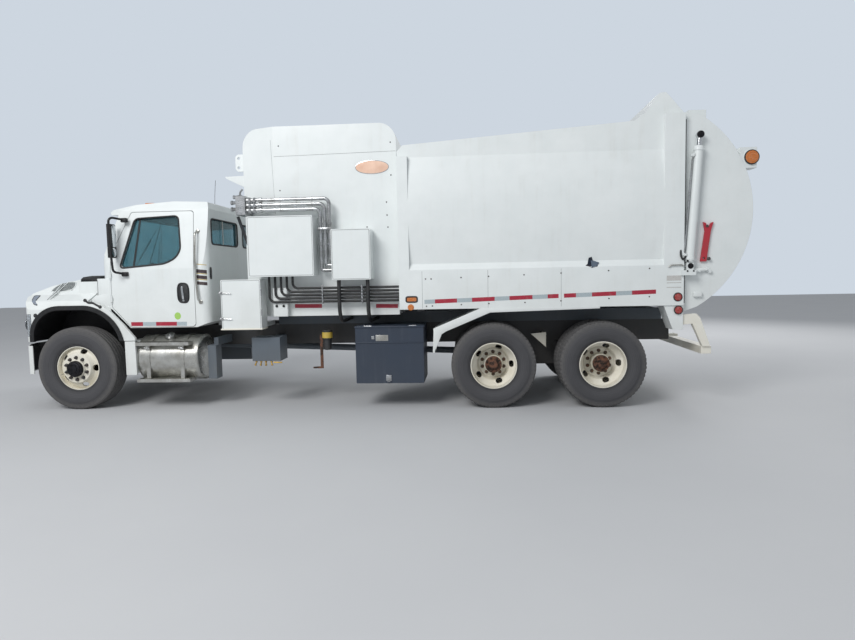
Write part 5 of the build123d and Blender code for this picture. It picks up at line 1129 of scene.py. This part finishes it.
# Door handles and locks; grab bars, vents and stripes on the cab's rear corners; washers on the door hinges
HANDLE_LEAN = (1, 0, -0.04)
CORNER_STRIPES = (
    ("top", 1850, 8, ochre_vinyl), ("upper", 1764, 44, brown_vinyl), ("middle", 1690, 44, brown_vinyl),
    ("lower", 1612, 40, brown_vinyl), ("upper_line", 1735, 8, ochre_vinyl), ("middle_line", 1660, 8, ochre_vinyl),
)
HINGE_HEIGHTS = (1380, 1680)
for side, hand in SIDES:
    out, door = Vector((0, side, 0)), f"door_{hand}"
    rim = oval((-2352, side * 1131, 1488), HANDLE_LEAN, UPWARD, 72, 122, 40, 3.2)
    make(f"handle_rim_{hand}", black_polypropylene, door, (add_bar, rim, 10, 10, True, 0.8))
    dish = oval((-2352, side * 1130.5, 1488), HANDLE_LEAN, UPWARD, 70, 120, 40, 3.2)
    make(f"handle_dish_{hand}", hose_rubber, door, (add_plate, dish, out * 3, 1))
    lever = rounded(
        [
            (-2366, side * 1134, 1570), (-2366, side * 1140, 1545), (-2356, side * 1142, 1450),
            (-2356, side * 1134, 1410),
        ],
        20,
    )
    make(f"handle_lever_{hand}", hard_chrome, door, (add_bar, lever, 15, 12, False, 0.6))
    make(
        f"door_lock_{hand}", zinc_pipe, door,
        (add_turned, (-2352, side * 1133, 1392), out, ((0, 15), (5, 15), (8, 12), (8, 4), (5, 0)), 24),
    )
    top, _ = on_side("cab_shell", -2152, 2266, side)
    foot, _ = on_side("cab_shell", -2128, 1369, side)
    bar_y = side * 1158
    grab = rounded(
        [
            top, (-2166, side * (abs(top.y) + 62), 2240), (-2170, bar_y, 1960), (-2166, bar_y, 1640),
            (-2146, side * 1166, 1400), foot,
        ],
        60,
    )
    make(
        f"grab_bar_{hand}", brushed_aluminium, "truck",
        (add_bar, grab, 13, 12),
        *[(add_turned, point, (0, side, 0), ((0, 26), (6, 26), (9, 20), (9, 0)), 20) for point in (top, foot)],
    )
    vent = oval((-2021, side * 1040, 1733), (0, 1, 0), UPWARD, 26, 78, 28, 3.5)
    make(f"cab_vent_{hand}", black_polypropylene, "truck", (add_plate, vent, (7, 0, 0), 2))
    for tag, z, height, finish in CORNER_STRIPES:
        stripe = band(-2165, -2048, z, z - 14, height, side * OUTSIDE)
        make(
            f"corner_stripe_{tag}_{hand}", finish, "truck", (add_laid, "cab_shell", stripe, (0, -side, 0), 1.0, 9)
        )
    make(
        f"hinge_washers_{hand}", dark_bolt_steel_and_nut_shade, door,
        *[
            (add_turned, (-3300, side * 1132, z), UPWARD, ((0, 0), (0, 12), (3, 14.2), (6, 14.2)), 20)
            for z in HINGE_HEIGHTS
        ],
    )
# The round sticker on the left door, plain lime
sticker = oval((-2440, -OUTSIDE, 1196), REARWARD, UPWARD, 42, 46, 32, 2.0)
make("round_sticker", lime_vinyl, "door_left", (add_laid, "door_left", sticker, (0, 1, 0), 0.8, 30))

# Mirrors: housings round the heads, flat glass above and domed glass below, and their clamps
for side, hand in SIDES:
    body = f"door_{hand}"
    low_y, high_y = across(side, 1124, 1275)
    make(
        f"mirror_housing_{hand}", black_polypropylene, body,
        (add_block, (-3239, low_y, 1946), (-3196, high_y, 2374), 18, 4),
    )
    glass = oval((-3197, side * 1199, 2222), (0, 1, 0), UPWARD, 64, 138, 36, 5.0)
    make(f"mirror_glass_{hand}", mirror_silver, body, (add_plate, glass, (3, 0, 0), 1))
    make(
        f"mirror_dome_{hand}", mirror_silver, body,
        (add_turned, (-3199, side * 1199, 2015), REARWARD, ((0, 60), (3, 58), (7, 42), (9, 20), (9, 0)), 36),
    )
    clamps = []
    for x, z in ((-3098, 2428), (-3098, 1742)):
        place, _ = on_side(f"mirror_{hand}", x, z, side)
        low_y, high_y = sorted((place.y + side * 4, place.y - side * 52))
        clamps.append((add_block, (x - 34, low_y, z - 30), (x + 40, high_y, z + 26), 10, 3))
    make(f"mirror_clamps_{hand}", black_polypropylene, body, *clamps)

# Antenna on the roof
make(
    "antenna", black_polypropylene, "truck",
    (add_turned, (-2500, 300, 2662), UPWARD, ((0, 34), (8, 34), (20, 22), (24, 10), (26, 0)), 24),
    (add_bar, ((-2500, 300, 2684), (-2490, 300, 2900), (-2470, 300, 3120)), 3, 8),
)

# Seats: stitched vinyl pads swollen by a cloth simulation, on pedestals with a frame behind the back
SEAT_Y = 520
PAD_VOXEL, PAD_FRAMES, PAD_CAP, PAD_PRESSURE = 0.008, 20, 0.016, 4
PAD_EDGE, CHANNEL, CHANNEL_WIDTH, CHANNEL_DEPTH = 34, 120, 9, 0.14


def pad_block(name, low, high):
    """A pad's starting form: a block with well rounded edges."""
    part = new_part()
    add_block(part, low, high, PAD_EDGE, 4)
    mesh = bpy.data.meshes.new(name)
    part.to_mesh(mesh)
    part.free()
    pad = bpy.data.objects.new(name, mesh)
    bpy.context.scene.collection.objects.link(pad)
    return pad


def apply_modifiers(pad):
    """Keeps the modified mesh and drops the modifiers."""
    graph = bpy.context.evaluated_depsgraph_get()
    made = bpy.data.meshes.new_from_object(pad.evaluated_get(graph))
    pad.modifiers.clear()
    pad.data = made


def swell(pad, grooves, axis_out, axis_across):
    """Blows the pad up as cloth, caps how far it swells, and presses the sewn channels in."""
    remesh = pad.modifiers.new("remesh", "REMESH")
    remesh.mode = "VOXEL"
    remesh.voxel_size = PAD_VOXEL
    apply_modifiers(pad)
    start = [v.co.copy() for v in pad.data.vertices]
    cloth = pad.modifiers.new("cloth", "CLOTH")
    cloth.settings.use_pressure = True
    cloth.settings.uniform_pressure_force = PAD_PRESSURE
    cloth.settings.effector_weights.gravity = 0
    cloth.point_cache.frame_start, cloth.point_cache.frame_end = 1, PAD_FRAMES
    for step in range(1, PAD_FRAMES + 1):
        bpy.context.scene.frame_set(step)
        bpy.context.evaluated_depsgraph_get()
    apply_modifiers(pad)
    bpy.context.scene.frame_set(1)
    for vert, place in zip(pad.data.vertices, start):
        move = vert.co - place
        if move.length > PAD_CAP:
            vert.co = place + move.normalized() * PAD_CAP
    middle = sum((v.co for v in pad.data.vertices), Vector()) / len(pad.data.vertices)
    for vert in pad.data.vertices:
        for groove in grooves:
            away = (vert.co[axis_across] - groove * MM) / (CHANNEL_WIDTH * MM)
            proud = vert.co[axis_out] - middle[axis_out]
            vert.co[axis_out] -= proud * CHANNEL_DEPTH * math.exp(-away * away)
    smooth = pad.modifiers.new("smooth", "SUBSURF")
    smooth.levels = smooth.render_levels = 1
    apply_modifiers(pad)
    pad.data.shade_smooth()
    pad.data.materials.append(seat_vinyl)
    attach(pad, "truck")


pedestals = []
for side, _ in SIDES:
    y = side * SEAT_Y
    pedestals.append((add_block, (-2680, y - 160, 1110), (-2360, y + 160, 1395), 12, 3))
    for z in (1150, 1200, 1250, 1300, 1350):
        pedestals.append((add_block, (-2672, y - 152, z), (-2368, y + 152, z + 14), 6, 2))
    hoop = [
        (-2330, y - 190, 1440), (-2300, y - 190, 1700), (-2300, y - 150, 2070), (-2300, y + 150, 2070),
        (-2300, y + 190, 1700), (-2330, y + 190, 1440),
    ]
    pedestals.append((add_bar, rounded(hoop, 60), 12, 8))
seat_base = make("seat_pedestals", grey_abs, "truck", *pedestals)
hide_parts("seats")
for side, hand in SIDES:
    y = side * SEAT_Y
    grooves = (y - CHANNEL, y, y + CHANNEL)
    swell(pad_block(f"seat_cushion_{hand}", (-2796, y - 226, 1408), (-2324, y + 226, 1512)), grooves, 2, 1)
    swell(pad_block(f"seat_back_{hand}", (-2378, y - 216, 1502), (-2296, y + 216, 2096)), grooves, 0, 1)

# Boxes on the left side: latches, a pull, door gaps, hinges and the shelf below
latches = []
for z in (1482, 1160):
    latches += [
        (add_block, (-1834, -1264, z - 16), (-1790, -1250, z + 16), 3),
        (add_bar, ((-1826, -1262, z), (-1680, -1266, z - 8)), 5.5, 8),
        (add_turned, (-1800, -1256, z), (0, -1, 0), ((0, 14), (10, 14), (13, 10), (13, 0)), 18),
    ]
make("box_latches", zinc_pipe, "truck", *latches)
pull = [(-1232, -1266, 1704), (-1222, -1262, 1690), (-1130, -1262, 1682), (-1000, -1262, 1712), (-992, -1266, 1724)]
make("box_pull", dark_bolt_steel_and_nut_shade, "truck", (add_bar, rounded(pull, 20), 5, 8))
BOX_DOORS = ((-1430, -631, 1685, 2400, -1270), (-387, 74, 1627, 2223, -1270), (-1802, -1318, 1030, 1631, -1250))
make(
    "box_door_gaps", seam_sealant, "truck",
    *[(add_bar, rounded(oblong(*sizes), 16, 3, True), 3, 6, True) for sizes in BOX_DOORS],
)
make(
    "box_hinges", zinc_pipe, "truck",
    *[(add_turned, (-1302, -1246, z), UPWARD, ((0, 0), (0, 8), (80, 8), (80, 0)), 14) for z in (1190, 1440)],
)
make("box_shelf_edge", cream_enamel, "truck", (add_block, (-1826, -1262, 1016), (-1296, -1050, 1034), 3))

# Pipe fittings: unions and collars on the pipes, their clamp, the manifold's ends, and a brace
PIPES = ((2622, -432), (2560, -490), (2498, -548))
PIPE_Y, PIPE_RADIUS = -1150, 23


def add_collar(part, centre, axis, radius, length, steps):
    """A collar round a pipe: six steps make it a hexagon."""
    add_turned(
        part, centre, axis, ((0, PIPE_RADIUS), (0, radius), (length, radius), (length, PIPE_RADIUS)), steps
    )


unions = []
for top, x_down in PIPES:
    unions += [(add_collar, (x, PIPE_Y, top), REARWARD, 34, 26, 6) for x in (-1500, -1440, -1380)]
    unions.append((add_collar, (-1320, PIPE_Y, top), REARWARD, 31, 44, 16))
    unions += [(add_collar, (x, PIPE_Y, top), REARWARD, 27, 12, 20) for x in (-1050, -850, -650)]
    unions += [(add_collar, (x_down, PIPE_Y, z), UPWARD, 33, 24, 6) for z in (2300, 2050)]
make("pipe_unions", zinc_pipe, "truck", *unions)
make(
    "pipe_clamp", zinc_pipe, "truck",
    (add_block, (-580, -1182, 2232), (-400, -1118, 2262), 5),
    *[(add_nut, (x, -1182, 2247), (0, -1, 0), 15, 9, 4) for x in (-560, -518, -462, -410)],
)
FITTING_STEPS = ((0, 1), (24, 1), (28, 0.7), (58, 0.7), (60, 0.9), (84, 0.9), (86, 0))
make(
    "manifold_fittings", zinc_pipe, "truck",
    *[
        (add_turned, (-1590, y, z), FORWARD, [(height, r * share) for height, share in FITTING_STEPS], 6)
        for y, z, r in ((-1140, 2600, 30), (-1140, 2520, 30), (-1060, 2680, 26), (-980, 2690, 24))
    ],
    (add_block, (-1600, -1170, 2440), (-1530, -1120, 2470), 6),
    (add_bar, rounded([(-1570, -1100, 2675), (-1570, -1100, 2730), (-1540, -1090, 2770)], 20), 12, 10),
)
brace = ((-1640, -1020, 2440), (-1560, -1000, 2180), (-1480, -990, 1950))
make("cabinet_strut", chassis_enamel, "truck", (add_bar, brace, 20, 8, False, 0.4))

# Clamps on the bundle of hoses, and the control box between them
clamps = []
for x in (-560, -60):
    for z in range(1350, 1560, 42):
        clamps.append((add_turned, (x, -1130, z), REARWARD, ((0, 15), (0, 20), (16, 20), (16, 15)), 20))
    clamps.append((add_block, (x + 2, -1156, 1318), (x + 14, -1104, 1552), 3))
make("hose_clamps", zinc_pipe, "truck", *clamps)
make(
    "control_box", white_enamel, "truck",
    (add_block, (-1196, -1112, 1165), (-1010, -1034, 1530), 8, 3),
    (add_block, (-1188, -1116, 1410), (-1018, -1110, 1500), 2),
)
KNOB = ((0, 16), (6, 16), (10, 12), (10, 0))
make(
    "control_knobs", black_polypropylene, "truck",
    *[(add_turned, (x, -1116, 1300), (0, -1, 0), KNOB, 20) for x in (-1150, -1060)],
)

# Tool box: lips, hasp with its hinges, and a blank plate
make(
    "tool_box_lip", tool_box_enamel, "truck",
    (add_block, (-149, -1206, 822), (712, -1199, 836), 2),
    (add_block, (-151, -1208, 1014), (714, -1000, 1034), 4),
)
hasp = rounded([(250, -1212, 360), (250, -1222, 345), (282, -1222, 345), (282, -1212, 360)], 8)
make(
    "tool_box_hasp", zinc_pipe, "truck",
    (add_block, (232, -1212, 352), (300, -1200, 424), 4),
    (add_bar, hasp, 4, 8),
    (add_block, (60, -1206, 872), (96, -1200, 912), 3),
    *[(add_bar, ((x - 30, -1196, 1036), (x + 60, -1196, 1036)), 7, 10) for x in (0, 560)],
)
make("tool_box_plate", brushed_aluminium, "truck", (add_block, (112, -1202.5, 850), (268, -1200, 924), 1))

# Fuel tank: strap tension bolts, filler cap, beads and the treads of its steps
strap_bolts = []
for x in (-2850, -2400):
    strap_bolts += [(add_nut, (x + offset, -1176, 790), (0, -1, 0.5), 19, 12, 10) for offset in (-16, 16)]
    strap_bolts.append((add_block, (x - 30, -1150, 360), (x + 30, -1110, 378), 4))
make("tank_strap_bolts", zinc_pipe, "truck", *strap_bolts)
FILLER_CAP = ((0, 52), (22, 52), (24, 60), (44, 60), (48, 54), (48, 20), (56, 18), (56, 0))
make("fuel_cap", zinc_pipe, "truck", (add_turned, (-2620, -980, 905), (0, -0.5, 1), FILLER_CAP, 32))
BEAD = ((0, 293), (3, 297.5), (11, 297.5), (14, 293))
make(
    "tank_beads", brushed_aluminium, "truck",
    *[(add_turned, (x, -870, 640), REARWARD, BEAD, 72) for x in (-2992, -2212, -2632)],
)
TREAD_COUNT, TREAD_START, TREAD_STEP = 22, -2960, 31
tread_starts = [TREAD_START + TREAD_STEP * n for n in range(TREAD_COUNT)]
make(
    "step_treads", brushed_aluminium, "truck",
    *[
        (add_block, (x, -1200, z - 4), (x + 12, -1040, z + 1.5), 1.2, 1)
        for z in (398, 868) for x in tread_starts
    ],
)

# Under the body: the filter with its yellow band, brass taps and a brown bracket
FILTER = ((-60, 0), (-60, 34), (-50, 52), (80, 56), (84, 66), (200, 66), (206, 50), (206, 0))
make("filter_body", chassis_enamel, "truck", (add_turned, (-590, -800, 760), UPWARD, FILTER, 32))
FILTER_BAND = ((0, 66), (2, 68.5), (74, 68.5), (76, 66))
make("filter_band", ochre_vinyl, "truck", (add_turned, (-590, -800, 858), UPWARD, FILTER_BAND, 32))
TAP = ((0, 14), (16, 14), (18, 9), (44, 9), (46, 13), (60, 13), (60, 0))
TAPS = ((-1450, -1.5), (-1390, -0.5), (-1330, 0.5), (-1260, 1.5))
make(
    "brass_taps", raw_brass, "truck",
    *[(add_turned, (x, -1080, 598), (0.2 * lean, -0.3, -1), TAP, 12) for x, lean in TAPS],
    (add_bar, ((-1230, -1082, 580), (-1120, -1080, 578)), 9, 10),
)
BRACKET = ((-700, 905), (-660, 905), (-660, 448), (-800, 448), (-800, 470), (-700, 476))
make("brown_bracket", rusted_iron, "truck", (add_plate, [(x, -760, z) for x, z in BRACKET], (0, -8, 0), 1.5))

# Tailgate: pin caps, cylinder glands, pipes and hoses, latch hooks, prop pins, seal and the pillar's marks
PIN_CAP = ((8, 30), (8, 16), (12, 14), (14, 0))
CYLINDER_FOOT, CYLINDER_ALONG = (3885, 1190, 1700), Vector((0.06869, 0, 0.997638))
for side, hand in SIDES:
    out = (0, side, 0)
    make(
        f"lower_pin_cap_{hand}", oily_iron, "truck",
        (add_turned, (3885, side * 1240, 1700), out, ((0, 34), (5, 34), *PIN_CAP), 28),
        *[(add_nut, (x, side * 1240, z), out, 19, 10) for x, z in ((3850, 1640), (3920, 1640), (3850, 1760))],
    )
    make(
        f"upper_pin_cap_{hand}", oily_iron, "gate_rods",
        (add_turned, (3990, side * 1222, 3225), out, ((0, 40), (5, 40), (8, 36), *PIN_CAP[1:]), 28),
    )
    foot_x, foot_y, foot_z = CYLINDER_FOOT
    base = Vector((foot_x, side * foot_y, foot_z))
    ports = [base + CYLINDER_ALONG * distance + Vector((-50, side * 22, 0)) for distance in (130, 1290)]
    gland = ((0, 52), (0, 60), (34, 60), (38, 54), (52, 50), (52, 30))
    make(
        f"cylinder_glands_{hand}", white_enamel, "gate_barrels",
        (add_turned, base + CYLINDER_ALONG * 1345, CYLINDER_ALONG, gland, 40),
        (add_turned, base + CYLINDER_ALONG * 70, CYLINDER_ALONG, ((0, 52), (0, 58), (26, 58), (30, 52)), 40),
        *[(add_turned, port, FORWARD, ((0, 20), (26, 20), (28, 14), (44, 14), (44, 0)), 6) for port in ports],
    )
    run = [base + CYLINDER_ALONG * distance + Vector((-64, side * 22, 0)) for distance in (130, 300, 900, 1290)]
    run = [
        run[0] + Vector((24, 0, 0)), run[0] + Vector((-8, 0, 30)), run[1] + Vector((-8, 0, 0)),
        run[2] + Vector((-8, 0, 0)), run[3] + Vector((-8, 0, -30)), run[3] + Vector((24, 0, 0)),
    ]
    make(f"cylinder_pipe_{hand}", zinc_pipe, "gate_barrels", (add_bar, rounded(run, 30), 9, 10))
    bent_hose(
        f"gate_hose_{hand}",
        [
            (3792, side * 1180, 1905), (3778, side * 1215, 1890), (3776, side * 1228, 1820),
            (3800, side * 1232, 1770), (3826, side * 1226, 1800), (3842, side * 1212, 1838),
        ],
        11, hose_rubber, "truck",
    )
    hook = [
        (3900, side * 1155, 1640), (4000, side * 1158, 1650), (4120, side * 1150, 1660), (4150, side * 1145, 1620),
    ]
    make(
        f"latch_hook_{hand}", white_enamel, "tailgate",
        (add_block, (3952, side * 1150 - 22, 1330), (4050, side * 1150 + 22, 1392), 8, 3),
        (add_bar, rounded(hook, 40), 24, 12),
        *[(add_nut, (x, side * 1176, z), out, 24, 12) for x, z in ((4010, 1640), (4090, 1655))],
    )
    make(
        f"prop_pins_{hand}", dark_bolt_steel_and_nut_shade, "tailgate",
        (add_turned, (4122, side * 1160, 1782), out, ((0, 20), (12, 20), (16, 14), (16, 0)), 24),
        (add_turned, (4096, side * 1160, 2168), out, ((0, 16), (12, 16), (14, 10), (14, 0)), 24),
    )
    seal = band(3846, 3858, 2380, 2380, 2240, side * OUTSIDE)
    make(f"gate_seal_{hand}", hose_rubber, "tailgate", (add_laid, "tailgate", seal, (0, -side, 0), 1.0, 120))
    make(
        f"pillar_marks_{hand}", faded_vinyl, "truck",
        *[
            (add_laid, "body_shell", band(3620, 3790, z, z, height, side * OUTSIDE), (0, -side, 0), 0.8)
            for z, height in ((1560, 60), (1505, 10), (1450, 10))
        ],
    )
    # The short grip above the pillar's lamps
    grip = [
        (3640, side * 1224, 1690), (3660, side * 1232, 1712), (3790, side * 1232, 1716), (3806, side * 1224, 1700),
    ]
    make(f"pillar_grip_{hand}", brushed_aluminium, "truck", (add_bar, rounded(grip, 14), 8, 8))

# The skirt's lip, which runs down ahead of the driven wheels, and the cream bracket between the axles
SKIRT_LIP = ((831, 996), (1409, 1238), (2840, 1238), (2840, 1214), (1528, 1184), (987, 960), (933, 926), (852, 727))
for side, hand in SIDES:
    make(
        f"skirt_lip_{hand}", white_enamel, "truck",
        (add_plate, [(x, side * 1217, z) for x, z in SKIRT_LIP], (0, side * 5, 0), 1.5),
    )
    make(
        f"flap_bracket_{hand}", cream_enamel, "truck",
        (add_plate, [(x, side * 700, z) for x, z in ((2066, 868), (2262, 886), (2262, 690))], (0, side * 6, 0), 1.5),
        (add_bar, ((2250, side * 430, 860), (2250, side * 704, 860)), 16, 10),
    )

# The torn place in the left skirt, with its shade painted as a dark sheet, and the flap of sheet that is bent out of
# it
TEAR = (
    (2672, 1728), (2700, 1752), (2716, 1822), (2752, 1834), (2768, 1782), (2828, 1756), (2812, 1716), (2744, 1700),
    (2716, 1716),
)
FLAP = ((2742, 1706, 3), (2738, 1782, 14), (2772, 1790, 18), (2836, 1758, 8), (2808, 1722, 3))
tear = [(x, -OUTSIDE, z) for x, z in TEAR]
# A dark sheet laid on the skirt: painted shade in the hole of the tear
make("tear_shade_patch", tear_shade_steel, "truck", (add_laid, "body_shell", tear, (0, 1, 0), 1.2, 20))
flap = [on_side("body_shell", x, z, LEFT, lift)[0] for x, z, lift in FLAP]
make("torn_flap", bent_steel, "truck", (add_plate, flap, (0, -3, 0), 0))

# Rear of the tailgate: red lenses on the lamp boxes, grips and edge bolts
make(
    "lamp_box_rear_lenses", red_polycarbonate, "tailgate",
    *[
        (add_turned, *on_rear("tailgate_lamps", y, GATE_LAMP[1]), ((-3, 62), (0.2, 61), (0.4, 0)), 40)
        for y in (-1040, 1040)
    ],
)
grips = []
for y in (-560, 560):
    run = rounded(
        [
            (4648, y - 110, 2290), (4656, y - 110, 2290), (4660, y - 90, 2300), (4660, y + 90, 2300),
            (4656, y + 110, 2290), (4640, y + 110, 2290),
        ],
        12,
    )
    grips.append((add_bar, run, 9, 10))
make("gate_grips", white_enamel, "tailgate", *grips)
make(
    "gate_edge_bolts", dark_bolt_steel_and_nut_shade, "tailgate",
    *[(add_dome, *on_rear("tailgate", y, z), 10, 6) for z in range(1640, 3201, 260) for y in (-1085, 1085)],
)

# Red lenses beside the rear bar
BAR_LENS = ((0, 48), (4, 48), (8, 40), (9, 14), (9, 0))
make(
    "rear_bar_lenses", red_polycarbonate, "truck",
    *[(add_turned, (3836, y, 1060), REARWARD, BAR_LENS, 36) for y in (-1010, -880, 880, 1010)],
)

# Rubber-headed bolts on the grippers' pads
GRIP_MIDDLE, PAD_BOLTS = (-1185, 850), 5
for name, way in (("gripper_front", FORWARD), ("gripper_rear", REARWARD)):
    low, high = (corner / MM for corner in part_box(name))
    places = [low.y + (high.y - low.y) * (0.3 + 0.65 * (n + 0.5) / PAD_BOLTS) for n in range(PAD_BOLTS)]
    make(
        f"pad_bolts_{name}", rubber_pad, name,
        *[(add_nut, *drop(name, (GRIP_MIDDLE[0], y, GRIP_MIDDLE[1]), way), 26, 9) for y in places],
    )

# Gauges on the dashboard, and the gear lever
GAUGE = ((0, 26), (6, 26), (8, 22), (5, 20), (5, 0))
GAUGES = ((-660, 1600), (-600, 1640), (-540, 1600), (-480, 1640), (-420, 1600))
make(
    "gauges", clear_polycarbonate, "truck",
    *[(add_turned, (-3128, y, z), (1, 0, 0.12), GAUGE, 28) for y, z in GAUGES],
)
lever = rounded([(-2960, -60, 1112), (-2960, -60, 1300), (-2900, -80, 1560)], 60)
make(
    "gear_lever", black_polypropylene, "truck",
    (add_bar, lever, 9, 10),
    (add_turned, (-2900, -80, 1560), (0.3, -0.1, 1), ((0, 10), (8, 22), (26, 26), (40, 18), (44, 0)), 20),
)
